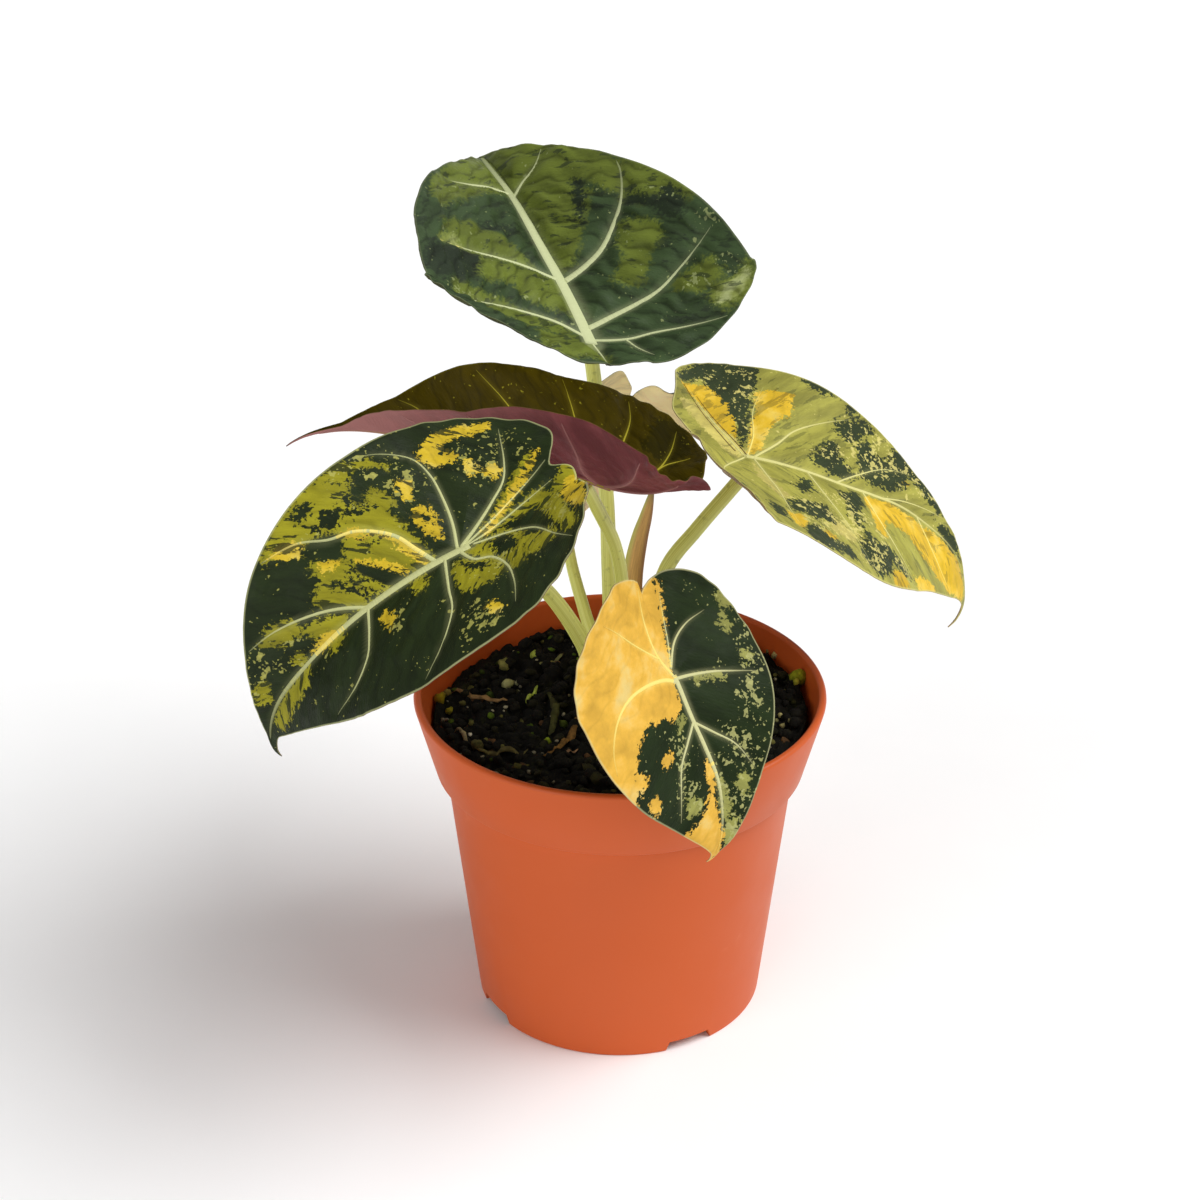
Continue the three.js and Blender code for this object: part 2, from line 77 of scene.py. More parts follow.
# Potting mix: its top, the plug below it, and the crumbs as sums of waves
SOIL = Values(level=91.5, slope_x=0.035, slope_y=0.015, radius=54.4, rings=90, sides=240)
PLUG = Values(gap=0.3, side=1, bend=49.0, neck=50.0, step=1)
CRUMBS = Values(seed=11, sizes=(7.0, 5.0, 3.6, 2.6, 1.9, 1.4), waves=4, height=0.045)
PEAT_TONE = (14, 13, 8)
ALGAE_TONE = (50, 54, 14)

# Seeded grains: how many, least and greatest radius, flattening, colour
GRAINS = [
    (520, 0.7, 2.3, 0.7, (20, 18, 11)),
    (130, 0.9, 2.2, 0.6, (38, 36, 16)),
    (120, 0.35, 0.75, 0.8, (150, 144, 118)),
    (60, 0.6, 1.2, 0.7, (96, 92, 44)),
    (50, 0.7, 1.3, 0.5, (66, 84, 18)),
    (50, 0.8, 1.6, 0.35, (84, 60, 36)),
]
GRAIN = Values(
    seed=29, sides=8, edge=2.5, lift=0.35, tilt=0.5, turn=6.28,
    profile=[(0, -1), (0.75, -0.66), (1, 0), (0.75, 0.66), (0, 1)],
    stretch=((0.7, 1.3), (0.7, 1.2), (0.8, 1.3)), rough=(0.78, 1.2), pale=(0.7, 1.15),
)
# Clumps that stand out: place, radius and colour
CLUMPS = [
    ((-53, 9.3), 2.2, (150, 132, 20)), ((-51, 12.5), 1.5, (150, 130, 60)),
    ((-50, 6.5), 1.3, (118, 112, 24)), ((53, 15.3), 2.4, (120, 122, 24)),
    ((51.5, 18), 1.4, (98, 96, 28)), ((52, 12), 1.2, (140, 136, 40)),
    ((46.6, -3.5), 1.2, (170, 160, 104)), ((48.5, -6), 1.2, (180, 168, 112)),
    ((49.6, -9), 1.1, (170, 160, 110)), ((47, -9.5), 1.0, (160, 150, 96)),
    ((45.4, -6), 0.9, (150, 146, 96)), ((45.5, 35), 1.6, (146, 132, 84)),
    ((47, 32), 1.3, (170, 158, 110)), ((-33.1, 17.7), 1.7, (150, 148, 96)),
    ((-30.5, 18), 1.0, (140, 138, 100)), ((-43.5, -9.5), 0.9, (196, 190, 166)),
    ((-25, 36), 1.9, (140, 148, 60)), ((-34.5, 28), 1.9, (122, 118, 60)),
    ((-21, -12), 1.4, (120, 136, 34)), ((-16.5, -4), 1.5, (74, 86, 24)),
    ((-41, -18), 2.0, (84, 80, 40)), ((-38.5, 13), 1.6, (66, 84, 24)),
    ((-12, 32), 1.6, (98, 116, 30)),
]
CLUMP_FLATNESS = 0.8
# Shreds of bark, fibre and moss: from, to, half width and colour
SHREDS = [
    ((-49.5, 14), (-33, 5.7), 1.1, (136, 106, 66)), ((-21.8, -24), (-12, -2.5), 1.2, (116, 84, 40)),
    ((-41.6, -19.5), (-26.4, -20.7), 1.3, (88, 80, 44)), ((-24, 29.5), (-17, 32.5), 1.2, (122, 120, 72)),
    ((-21.5, 13), (-20.5, -11), 1.2, (64, 64, 30)), ((-27.6, 7.5), (-24.3, 14.5), 0.8, (158, 172, 70)),
    ((-48, -9), (-43.5, -16), 0.7, (140, 126, 92)), ((-17, -25), (-12, -22), 0.6, (146, 112, 78)),
    ((14, -38), (22, -33), 1.0, (96, 74, 46)), ((30, 30), (40, 24), 0.9, (104, 84, 52)),
    ((-6, 34), (4, 38), 0.9, (90, 74, 44)), ((24, -20), (30, -9), 0.9, (92, 76, 44)),
]
SHRED = Values(
    steps=12, sides=6, bow=0.12, lift=0.6, rise=0.9, ends=0.25, thick=0.5,
    ragged=(0.8, 1.15),
)

# Crown, with the folds in its top
CROWN = Values(x=0.0, y=4.0, radius=12.5, bottom=80.0, shoulder=90.0, top=98.5)
CROWN_STEPS = Values(sides=120, dome=24)
CROWN_FOLDS = Values(count=9, depth=0.5, swirl=0.25)

# Blade sheets: thickness, samples of half an outline, rings from the junction to the edge and how
# they crowd toward it, and where the sheet thins to its rim
SHEET = 0.6
HALF_SAMPLES = 140
RINGS = 84
RING_POWER = 0.85
RIM = Values(start=0.97, thinner=0.5)
MIDRIB_STEP = 1 / 60
MIDRIB_REACH = 1.4
TIP_START = 0.75
TAIL_POWER = 1.5
WAVE_INSIDE = 0.25
OUTER_SHARE = 1.15
SINUS_FOLLOW = 0.45
NORMAL_STEP = 0.4
PATH_STEPS = 40
HALF_OUTLINE = [
    (0, 1), (0.05, 0.945), (0.16, 0.86), (0.4, 0.69), (0.66, 0.5), (0.87, 0.27), (0.985, 0),
    (0.99, -0.3), (0.9, -0.6), (0.7, -0.85), (0.44, -0.98), (0.2, -0.985), (0.06, -0.985), (0, -1),
]

# Quilting: the swell between veins and the small one between rows, how the rows bow and wander,
# how high each one stands, where it all fades toward the edge, and the frilled margin
QUILT = Values(height=0.9, reach=3.2, power=1.5)
SMALL_QUILT = Values(height=0.34, reach=2.5, power=0.7)
ROWS = Values(bow=0.008, slow=2.2, quick=0.9)
SLOW_TURNS = Values(across=0.21, along=0.17, side=1.3)
QUICK_TURNS = ((0.53, 0.31), (-0.37, 0.61))
ROW_HEIGHT = Values(mean=0.7, swing=0.5, out=0.55, row=2.1, slow=1.2)
FADE = Values(start=0.78, depth=0.8)
FRILL = Values(start=0.55, waves=23, sway=2, sways=3)

# Ribs: points along one, how far it stays inside the edge, its sides, how its width tapers and how
# much of it is left at the end; how far it stands proud, and how much more for a wider one; below
# which height it counts as the face below; how its colour fades, and the glow beside it
RIB = Values(steps=64, margin=0.9, sides=10, taper=0.8, end=0.3)
RIB_ABOVE = (0.16, 0.12)
RIB_BELOW = (0.1, 0.55)
RIB_UNDER = -0.1
RIB_FADE = Values(depth=0.75, power=1.5)
GLOW = Values(power=0.7, reach=0.4, wider=0.35)

# Marks on the vertices: how far a marking's field reaches, what means well inside the edge, which
# value of the rib's mark means a scar, and how a blade's grain is stretched across and along and set
# apart by side
FIELD_REACH = 9.0
INSIDE = 9.0
SCAR_MARK = -1.0
GRAIN_STRETCH = (0.6, 1.3, 7)

# Leaf skin: scales of its noises, how far noise moves a marking's border, how far gold and dark
# swell, and the scale and threshold of the pale specks
LEAF_NOISE = Values(
    cloud=90, gold=70, coarse=230, fine=800, drift=150, broken=260,
    net=700, pebble=2600, shine=300,
)
WOBBLE = {"lime": 3.6, "gold": 3.0, "dark": 4.2}
FINE_WOBBLE = 1.1
SWELL = 0.4
SPECKS = ((950, 0.745), (420, 0.73))
LEAF_TONES = ("base", "lime", "gold", "dark", "rib", "below", "below_rib")
GOLD_VEIN = (244, 224, 122)
SCAR_TONE = (84, 58, 30)

# Stalks: sides and steps, the sheath's groove, and their colours
PETIOLE_MESH = Values(sides=24, steps=90)
SHEATH_MESH = Values(sides=28, steps=80)
GROOVE = Values(depth=0.25, width=0.35)
PETIOLE_TONES = ((210, 210, 94), (240, 242, 141))
FLECK_TONE = (128, 136, 62)
SHEATH_TONES = {
    "pale": (240, 196, 118), "brown": (204, 158, 96), "purple": (160, 108, 96),
    "green": (206, 204, 112), "tip": (132, 140, 92),
}

# Each leaf: where its petiole meets the blade, which way its midrib heads (clockwise from +Y), its
# pitch and roll, its sizes, the bends that shape it, and its wave's height, count and phase. A
# notch in the edge is its angle from straight behind, its width and its depth.
LEAVES = {
    "top": Values(
        junction=(-8.1, 28, 198.2), heading=-19.5, pitch=21.3, roll=-3.2,
        length=104.5, lobe=19.1, left_lobe=0.97, left=63.1, right=52.2, sinus=0.8, tail=1,
        fold_left=17.4, fold_right=8.4, curl_left=24.2, curl_right=43.5, fold_change=19.7,
        droop=17.4, tip_droop=21.9, lobe_droop=-27.9, twist=-17.7, wave=(1.33, 5.8, -22.7),
    ),
    "front_left": Values(
        junction=(-40.8, -88, 190.7), heading=-111.8, pitch=-16.7, roll=24,
        length=81.9, lobe=36.3, left_lobe=1.02, left=40.2, right=38.8, sinus=0.94, tail=7.4,
        notch=(16.5, 5.5, 0.15),
        fold_left=18.4, fold_right=11.2, curl_left=11.4, curl_right=2.3, fold_change=3.3,
        droop=70.1, tip_droop=17.8, lobe_droop=-17.6, twist=-45.6, wave=(2.7, 3.84, -102),
    ),
    "right": Values(
        junction=(36.5, 22, 163.4), heading=84.1, pitch=-11.5, roll=-7.8,
        length=94.1, lobe=23.7, left_lobe=1.06, left=46.6, right=53.8, sinus=0.8, tail=6.1,
        fold_left=1.3, fold_right=9.9, curl_left=8.2, curl_right=5.6, fold_change=-10.3,
        droop=52.5, tip_droop=43.6, lobe_droop=-40.9, twist=25.1, wave=(1.11, 6.75, 209.6),
    ),
    "front": Values(
        junction=(14.4, -58, 135.9), heading=132.5, pitch=-52.1, roll=-1.5,
        length=55.1, lobe=31.6, left_lobe=0.88, left=29.7, right=39.3, sinus=0.9, tail=3,
        fold_left=3.7, fold_right=7.2, curl_left=5.9, curl_right=-2.1, fold_change=-2.7,
        droop=41.1, tip_droop=31.2, lobe_droop=-17.8, twist=21.3, wave=(1.03, 5.49, 100.9),
    ),
    "back_left": Values(
        junction=(-4.7, -28, 179), heading=-90.6, pitch=21.7, roll=-0.9,
        length=76.7, lobe=30.2, left_lobe=1.01, left=42, right=41.4, sinus=0.85, tail=12,
        fold_left=29.2, fold_right=23.9, curl_left=21.4, curl_right=-18.1, fold_change=23.9,
        droop=15.4, tip_droop=15.6, lobe_droop=-44.6, twist=-3.8, wave=(1.93, 6.31, 181.9),
    ),
    "back": Values(
        junction=(-2.2, 66, 152.9), heading=-30.2, pitch=-54.7, roll=-13.4,
        length=43.8, lobe=28.6, left_lobe=1.12, left=38.1, right=25.5, sinus=0.56, tail=1.6,
        fold_left=9.3, fold_right=1.8, curl_left=-0.6, curl_right=-12.2, fold_change=1.4,
        droop=20, tip_droop=10, lobe_droop=12.8, twist=-0.4, wave=(2.14, 6.3, 41.9),
    ),
}

# Ribs of each blade in its own plane, the midrib first: points to the right of the midrib and toward
# the tip, with half widths at the root and at the end
RIBS = {
    "top": [
        ([(-1, -3), (-1.3, 20), (-2, 40), (-1.5, 70), (-2, 90), (0, 102)], 2.7, 0.9),
        ([(0, 25), (8, 28), (14, 31), (21, 37), (27, 43), (31, 50), (32, 54)], 1.3, 0.35),
        ([(0, 4), (8, 6), (15, 7), (23, 8), (32, 11), (45, 15)], 1.15, 0.2),
        ([(0, -1), (10, -4), (17, -5), (25, -8), (38, -14)], 0.6, 0.15),
        ([(9, -4), (11, -9), (14, -14)], 0.35, 0.15),
        ([(-1, 70), (4, 74), (10, 76), (15, 80)], 0.75, 0.3),
        ([(-2, 25), (-12, 28), (-22, 28), (-34, 26), (-48, 24)], 0.95, 0.15),
        ([(-2, 0), (-10, 4), (-18, 5), (-30, 4), (-45, 0), (-53, -2)], 0.8, 0.15),
        ([(-2, 71), (-10, 72), (-18, 68), (-28, 63)], 0.9, 0.2),
        ([(-1, -2), (0, -8), (0, -13)], 0.5, 0.25),
    ],
    "front_left": [
        ([(-1, -2), (-1, 8), (-1, 20), (-0.5, 35), (0, 50), (1, 65), (0.5, 78), (0, 88)], 1.45, 0.25),
        ([(-1, 7), (5, 10), (11, 13), (17, 20), (19, 26), (23, 32), (25, 40)], 0.75, 0.25),
        ([(0, 1), (7, -1), (15, -2), (22, -2), (28, 0), (33, 7), (35, 14)], 0.55, 0.12),
        ([(-0.5, 28), (4, 34), (8, 41), (12, 50), (14, 57)], 0.6, 0.2),
        ([(0, 0), (4, -7), (8, -13), (12, -18), (18, -21), (29, -24)], 0.6, 0.15),
        ([(0, -1), (3, -10), (6, -18), (9, -26), (11, -31)], 0.4, 0.2),
        ([(-0.5, -1), (1, -10), (3, -19), (5, -29)], 0.4, 0.15),
        ([(-1, 5), (-12, 8), (-20, 10), (-28, 16), (-33, 23)], 0.55, 0.12),
        ([(-1, 1), (-7, -1), (-10, -5), (-17, -7), (-25, -6), (-33, -3)], 0.6, 0.15),
        ([(-1, 28), (-8, 31), (-13, 34), (-17, 41), (-18, 50)], 0.55, 0.12),
        ([(-1, -3), (-4, -12), (-9, -18), (-20, -22), (-31, -26)], 0.45, 0.12),
    ],
    "right": [
        (
            [(-1, -1), (0, 15), (0, 30), (-2, 40), (-5, 52), (-6, 62), (-6.5, 74), (-4, 84), (0, 97)],
            0.95, 0.3,
        ),
        ([(-1, 2), (-10, 10), (-18, 16), (-26, 26), (-32, 35)], 0.55, 0.15),
        ([(-1, 0), (-12, 3), (-24, 4), (-36, 8)], 0.4, 0.12),
        ([(0, 28), (-8, 36), (-17, 46), (-22, 56)], 0.4, 0.12),
        ([(-3, 44), (-8, 53), (-12, 63), (-14, 70)], 0.35, 0.12),
        ([(-1, -1), (-10, -6), (-20, -13), (-29, -18)], 0.4, 0.12),
        ([(0, 2), (10, 4), (20, 6), (33, 7), (45, 8)], 0.45, 0.12),
        ([(0, 18), (10, 22), (22, 28), (35, 34)], 0.35, 0.12),
        ([(-1, 37), (8, 42), (18, 49), (26, 56)], 0.4, 0.12),
        ([(-6, 58), (2, 65), (8, 74), (9, 80)], 0.35, 0.12),
        ([(0, -1), (10, -8), (24, -15), (38, -18)], 0.4, 0.12),
    ],
    "front": [
        ([(0, -1), (0.5, 10), (-0.5, 20), (-1.8, 30), (-1.5, 40), (-0.5, 50), (0, 57)], 1, 0.2),
        ([(0, 1), (4, -1), (12, -2), (20, -1), (27, 3), (31, 9), (32, 15)], 0.75, 0.2),
        ([(0, 12), (5, 17), (9, 22), (11, 30), (12, 38)], 0.5, 0.15),
        ([(0, 0), (3, -8), (3, -18), (1, -27)], 0.55, 0.2),
        ([(3, -7), (10, -13), (18, -20), (24, -24)], 0.35, 0.12),
        ([(0, 0), (-5, 1), (-12, 3), (-17, 5), (-24, 8)], 0.6, 0.15),
        ([(0, -3), (-5, -9), (-11, -12), (-19, -13)], 0.5, 0.12),
        ([(0, 13), (-5, 18), (-10, 23), (-14, 31)], 0.45, 0.12),
        ([(0, -3), (-3, -10), (-5, -17), (-7, -24)], 0.35, 0.15),
    ],
    "back_left": [
        ([(0, -2), (0, 25), (0, 50), (0, 72), (0, 86)], 0.95, 0.2),
        ([(0, -1), (9, -14), (18, -19), (29, -22)], 0.45, 0.15),
        ([(9, -14), (13, -18), (16, -25)], 0.3, 0.12),
        ([(0, 0), (10, -2), (19, -4), (30, -6), (38, -5)], 0.45, 0.15),
        ([(0, 2), (10, 8), (20, 11), (36, 16)], 0.45, 0.15),
        ([(0, 18), (8, 24), (16, 30), (24, 40)], 0.45, 0.15),
        ([(0, 40), (5, 48), (9, 54), (11, 60)], 0.4, 0.12),
        ([(0, -1), (-9, -13), (-18, -19), (-28, -22)], 0.45, 0.15),
        ([(0, 0), (-12, -3), (-24, -4), (-37, -2)], 0.45, 0.15),
        ([(0, 2), (-10, 8), (-22, 13), (-34, 20)], 0.45, 0.15),
        ([(0, 18), (-9, 25), (-18, 33), (-24, 42)], 0.45, 0.15),
        ([(0, 40), (-6, 48), (-11, 57)], 0.4, 0.12),
    ],
    "back": [
        ([(0, -2), (0, 20), (0, 43)], 1, 0.25),
        ([(0, 0), (9, 3), (17, 8), (21, 14)], 0.45, 0.12),
        ([(0, 0), (-13, 2), (-25, 7), (-31, 13)], 0.45, 0.12),
        ([(0, 0), (6, -8), (12, -13)], 0.4, 0.12),
        ([(0, 0), (-8, -9), (-19, -15)], 0.4, 0.12),
        ([(0, 14), (7, 19), (11, 25)], 0.4, 0.12),
        ([(0, 14), (-10, 19), (-16, 26)], 0.4, 0.12),
    ],
}

# Brown creases that a blade has torn along, as lines in its plane
SCARS = {
    "right": [
        [(-0.5, 0.4), (-5, -1.6), (-10, -4.4), (-19, -10.4), (-25, -14)],
        [(-2.5, -3.4), (-6, -5.6), (-10, -8), (-18, -13.6), (-27, -19)],
    ],
}
SCAR_WIDTH = 0.24

# Markings of each blade as patches in its plane: lime over the base colour, gold over lime, dark over
# both, and where pale specks gather
MARKINGS = {
    ("top", "lime"): [
        [(0, 102), (11, 86), (19, 75), (26, 64), (32, 51), (28, 47), (26, 49), (22, 57), (17, 58),
         (18, 51), (11, 42), (7, 36), (2, 31), (2, 38), (2, 50), (2, 62), (1, 73)],
        [(33, 51), (38, 45), (42, 36), (45, 27), (42, 28), (38, 34), (33, 36), (29, 43)],
        [(23, 33), (31, 26), (30, 23), (25, 21), (20, 14), (17, 15), (15, 17), (21, 22), (21, 28)],
        [(49, -2), (49, -10), (45, -13), (40, -10), (38, -5), (40, -2), (44, -5)],
        [(29, 6), (35, 2), (41, 2), (40, 6), (35, 6)],
        [(-28, 64), (-5, 96), (-3, 72), (-12, 67), (-25, 56), (-40, 44), (-38, 51)],
        [(-41, 31), (-29, 37), (-19, 35), (-12, 28), (-24, 27), (-40, 26)],
        [(-33, 23), (-22, 22), (-5, 23), (-3, 17), (-5, 10), (-17, 11), (-25, 16), (-38, 13)],
        [(-49, 3), (-41, 3), (-29, 4), (-9, 1), (-16, -3), (-26, -3), (-38, -1), (-49, -2)],
        [(-21, -10), (-9, -4), (-3, -4), (-1, -12), (-10, -13), (-21, -21)],
    ],
    ("top", "gold"): [
        [(38, -4), (42, -3), (49, -2), (49, -9), (43, -11), (38, -8)],
        [(-38, 28), (-44, 28), (-46, 24), (-38, 25)],
    ],
    ("top", "dark"): [
        [(29, 42), (38, 32), (41, 34), (44, 26), (40, 23), (35, 27), (32, 34), (28, 39)],
        [(-26, 40), (-16, 44), (-7, 44), (-18, 39), (-27, 37)], [(17, 59), (20, 55), (13, 42), (13, 48)],
        [(-57, 14), (-36, 24), (-32, 22), (-39, 11), (-55, 2), (-61, 4)],
    ],
    ("top", "specks"): [
        [(40, 34), (44, 26), (49, 14), (46, 13), (40, 26)], [(45, 6), (51, 2), (47, -4), (40, -1), (40, 5)],
        [(-50, 6), (-40, 3), (-44, -4), (-55, 0)], [(30, 6), (41, 6), (38, 0), (30, 2)],
    ],
    ("front_left", "lime"): [
        [(27, 38), (29, 33), (31, 28), (32, 25), (33, 21), (28, 17), (22, 18), (19, 11), (16, 12),
         (11, 10), (6, 9), (1, 8), (0, 12), (3, 15), (11, 24), (14, 25), (19, 23), (21, 26), (22, 30),
         (20, 32), (25, 39)],
        [(16, 31), (11, 25), (7, 24), (4, 23), (-1, 20), (0, 28), (5, 34), (9, 37), (12, 32), (16, 32)],
        [(-3, -1), (-3, -6), (-2, -11), (-9, -15), (-18, -13), (-22, -11), (-18, -6), (-10, -5)],
        [(-14, -14), (-14, -19), (-19, -22), (-22, -21), (-22, -15), (-19, -14)],
        [(-8, 5), (-6, 2), (-11, -4), (-18, -6), (-20, -1), (-19, 3), (-17, 5)],
        [(0, -6), (5, -13), (10, -20), (14, -27), (9, -22), (4, -15), (0, -9)],
        [(0, -12), (3, -19), (4, -25), (0, -24), (-1, -18)],
        [(-1, 72), (-3, 71), (-4, 63), (-4, 54), (-1, 51), (0, 60)], [(-4, 41), (0, 43), (0, 38), (-1, 36)],
        [(0, 37), (1, 34), (4, 38), (6, 43), (3, 43), (1, 41)],
        [(4, 66), (6, 68), (8, 66), (7, 62), (5, 63)], [(7, 45), (9, 50), (12, 53), (13, 50), (10, 45)],
        [(1, 52), (3, 52), (3, 50), (1, 50)], [(-3, -23), (-24, -26), (-26, -29), (0, -28), (4, -24)],
        [(-8, 14), (-3, 15), (-3, 12), (-6, 12)], [(28, 7), (32, 10), (33, 14), (30, 9)],
        [(0, -27), (4, -30), (7, -35), (3, -38), (-4, -37)],
        [(18, 9), (23, 12), (30, 16), (34, 16), (33, 20), (26, 15), (20, 13)],
    ],
    ("front_left", "gold"): [
        [(14, 6), (14, 3), (9, 2), (4, 3), (7, 6), (11, 7)], [(23, 7), (22, 4), (17, 5), (18, 7), (21, 7)],
        [(25, 37), (24, 33), (21, 31), (20, 33), (23, 37)], [(16, 30), (13, 27), (12, 29), (14, 31)],
        [(19, 23), (17, 19), (12, 14), (5, 10), (1, 9), (2, 11), (11, 15), (16, 21), (18, 23)],
        [(11, 24), (6, 18), (2, 15), (1, 15), (5, 19), (9, 23)],
        [(30, -2), (33, -8), (34, -15), (32, -23), (30, -22), (30, -16), (30, -9), (27, -7), (25, -10),
         (23, -10), (24, -4), (27, -2)],
        [(22, -11), (21, -13), (18, -13), (17, -11), (19, -11)],
        [(17, -15), (18, -18), (15, -19), (14, -16)],
        [(1, -7), (5, -14), (9, -20), (14, -29), (14, -30), (9, -23), (3, -13), (0, -7)],
        [(-18, -31), (-5, -29), (3, -32), (1, -36), (-12, -36), (-24, -34)],
        [(-12, 24.5), (-7, 26.5), (-6, 24), (-10, 22.5)], [(-33, 2), (-29, 3), (-28, 1), (-32, 0)],
        [(0, 37), (2, 42), (1, 47), (-1, 44), (-1, 39)],
    ],
    ("front_left", "dark"): [
        [(23, 27), (25, 24), (25, 22), (22, 21), (21, 22), (20, 24)],
        [(28, 29), (30, 27), (29, 25), (26, 28)], [(29, 16), (28, 13), (26, 12), (23, 14), (25, 16)],
        [(25, 18), (22, 18), (20, 14), (20, 18), (22, 19)],
        [(21, 30), (20, 27), (18, 23), (16, 24), (14, 27), (17, 29), (20, 32)],
        [(10, 27), (9, 23), (4, 20), (0, 17), (2, 21), (5, 23)],
        [(9, 31), (6, 28), (0, 23), (2, 27), (6, 29)], [(15, 19), (14, 16), (11, 15), (12, 17)],
        [(-5, -7), (-3, -11), (-9, -13), (-14, -12), (-11, -6)], [(-7, 2), (-12, -3), (-14, -2), (-11, 1)],
        [(11, 4.2), (10, 3), (9, 4), (10, 5)],
    ],
    ("front_left", "specks"): [
        [(24, -6), (31, -18), (28, -23), (21, -22), (13, -17), (11, -14), (17, -9)],
        [(34, 19), (36, 11), (31, 3), (22, -1), (14, 0), (15, 7), (22, 10)],
        [(-22, 2), (-38, 0), (-36, 12), (-24, 12)], [(-28, -24), (-4, -22), (2, -30), (-20, -32)],
        [(4, 44), (12, 48), (15, 60), (8, 70), (3, 60)], [(-20, 26), (-10, 26), (-6, 20), (-18, 20)],
        [(14, -30), (26, -30), (30, -26), (16, -24)], [(-6, -14), (-20, -10), (-22, -2), (-8, 0)],
    ],
    ("right", "lime"): [
        [(-15, -22), (-22, -12), (-14, -5), (-2, 0), (1, -5), (-6, -12), (-11, -19)],
        [(4, 1), (13, 5), (24, 9), (24, 6), (16, 1)], [(22, 20), (26, 23), (25, 31), (32, 27), (34, 20)],
    ],
    ("right", "gold"): [
        [(-33, 5), (-34, 11), (-33, 16), (-25, 15), (-19, 9), (-7, 5), (-3, 1), (-18, 3), (-24, 6)],
        [(1, 37), (-2, 46), (-3, 58), (-5, 70), (-5, 79), (4, 87), (10, 77), (12, 68), (10, 61), (6, 52),
         (7, 44), (16, 44), (16, 40), (8, 39)],
        [(-27, -20), (-33, -8), (-30, -2), (-22, -1), (-10, -2.5), (-12, -5.5), (-20, -11), (-24, -16)],
        [(-16, 50), (-19, 54), (-15, 54), (-13, 50)], [(36, 5), (34, 10), (43, 10), (46, 6)],
        [(39, 15), (37, 20), (45, 17), (45, 14)], [(32, 43), (27, 49), (32, 52), (37, 44)],
        [(23, 56), (18, 66), (21, 68), (28, 58)],
    ],
    ("right", "dark"): [
        [(-27, 29), (-30, 33), (-32, 39), (-31, 43), (-27, 39), (-22, 36), (-21, 33), (-23, 30)],
        [(-5, 20), (-13, 24), (-17, 27), (-14, 29), (-10, 30), (-7, 33), (-6, 35), (-3, 30), (-3, 25)],
        [(-20, 36), (-24, 40), (-19, 43), (-22, 48), (-29, 50), (-28, 54), (-24, 56), (-15, 53), (-8, 47),
         (-6, 38), (-12, 37)],
        [(-27, 48), (-28, 50), (-29, 55), (-23, 63), (-16, 69), (-14, 66), (-16, 60), (-21, 55), (-24, 52)],
        [(-10, 66), (-11, 73), (-8, 78), (-5, 75), (-7, 70)],
        [(8, 14), (6, 18), (12, 18), (17, 14), (14, 12)],
        [(25, 8), (22, 13), (19, 21), (28, 22), (31, 15), (32, 7)],
        [(6, 28), (2, 34), (7, 35), (16, 32), (20, 35), (23, 39), (21, 43), (25, 53), (26, 55), (29, 49),
         (27, 44), (26, 36), (21, 34), (17, 29)],
        [(27, 32), (25, 37), (27, 44), (33, 43), (40, 36), (37, 31)], [(36, -1), (36, 4), (45, 4), (44, 1)],
        [(42, 9), (38, 14), (42, 18), (38, 24), (42, 27), (45, 21), (50, 14), (50, 9)],
        [(33, -15), (46, -14), (50, -6), (44, -8), (35, -12)], [(-41, 20), (-42, 27), (-39, 28), (-38, 24)],
        [(-38, 33), (-36, 37), (-33, 34)],
        [(-31, -21), (-43, -13), (-49, -2), (-46, 6), (-37, 6), (-30, 3), (-17, 2), (-5, -1), (-17, -2),
         (-29, -6), (-35, -12), (-28, -23)],
    ],
    ("right", "specks"): [
        [(-5, 20), (-27, 30), (-34, 41), (-29, 55), (-16, 69), (-12, 55), (-6, 35)],
        [(23, 7), (4, 27), (18, 45), (26, 56), (35, 43), (44, 22), (38, 6)],
        [(-36, -19), (-47, -2), (-43, 6), (-37, 6), (-7, -1), (-29, -6)],
    ],
    ("front", "lime"): [
        [(-11, 33), (-9, 36), (-7, 33), (-9, 31)], [(-4, 36), (-2, 30), (-1, 40), (-3, 44)],
        [(-6, 44), (-2, 50), (-2, 45), (-5, 42)], [(-25, -6), (-23, -5), (-21, -8), (-24, -10)],
        [(-29, -10), (-26, -11), (-25, -15), (-28, -15)], [(-24, 5), (-22, 5), (-22, 3), (-24, 3)],
        [(-6, 3), (-14, 6), (-14, 4), (-6, 2)], [(4, 11), (7, 13), (6, 10), (4, 10)],
        [(6, 35), (9, 37), (9, 32), (7, 32)],
    ],
    ("front", "gold"): [
        [(0, -4), (1, 0), (3, 7), (9, 9), (12, 7), (18, 7), (22, 10), (26, 16), (27, 22), (28, 28),
         (34, 24), (40, 12), (42, 0), (41, -12), (35, -22), (24, -31), (10, -34), (0, -32), (-6, -27),
         (-4, -18), (-2, -10)],
        [(1, 33), (3, 35), (4, 38), (8, 41), (13, 43), (6, 50), (0, 58), (-1, 48), (0, 40)],
        [(0, 33), (1, 32), (2, 28), (1, 24), (0, 24), (-1, 28)],
        [(19, 30), (20, 32), (22, 29), (22, 26), (20, 26)], [(12, 18), (15, 19.5), (16.5, 17), (13, 16)],
        [(22, 20), (25, 23), (27, 20), (25, 18)], [(-8, -25), (-6, -20), (-4, -14), (-5, -20), (-7, -26)],
    ],
    ("front", "specks"): [
        [(-30, 12), (-20, 30), (-8, 48), (-2, 50), (-2, 22), (-14, 14), (-22, -2), (-30, -8)],
        [(3, 10), (12, 12), (12, 36), (4, 36), (2, 20)],
    ],
    ("back_left", "dark"): [[(18, -10), (32, -16), (34, -24), (20, -26), (12, -18)]],
    ("back", "lime"): [[(-40, 10), (-20, 30), (-8, 30), (-12, 0), (-20, -26), (-38, -12)]],
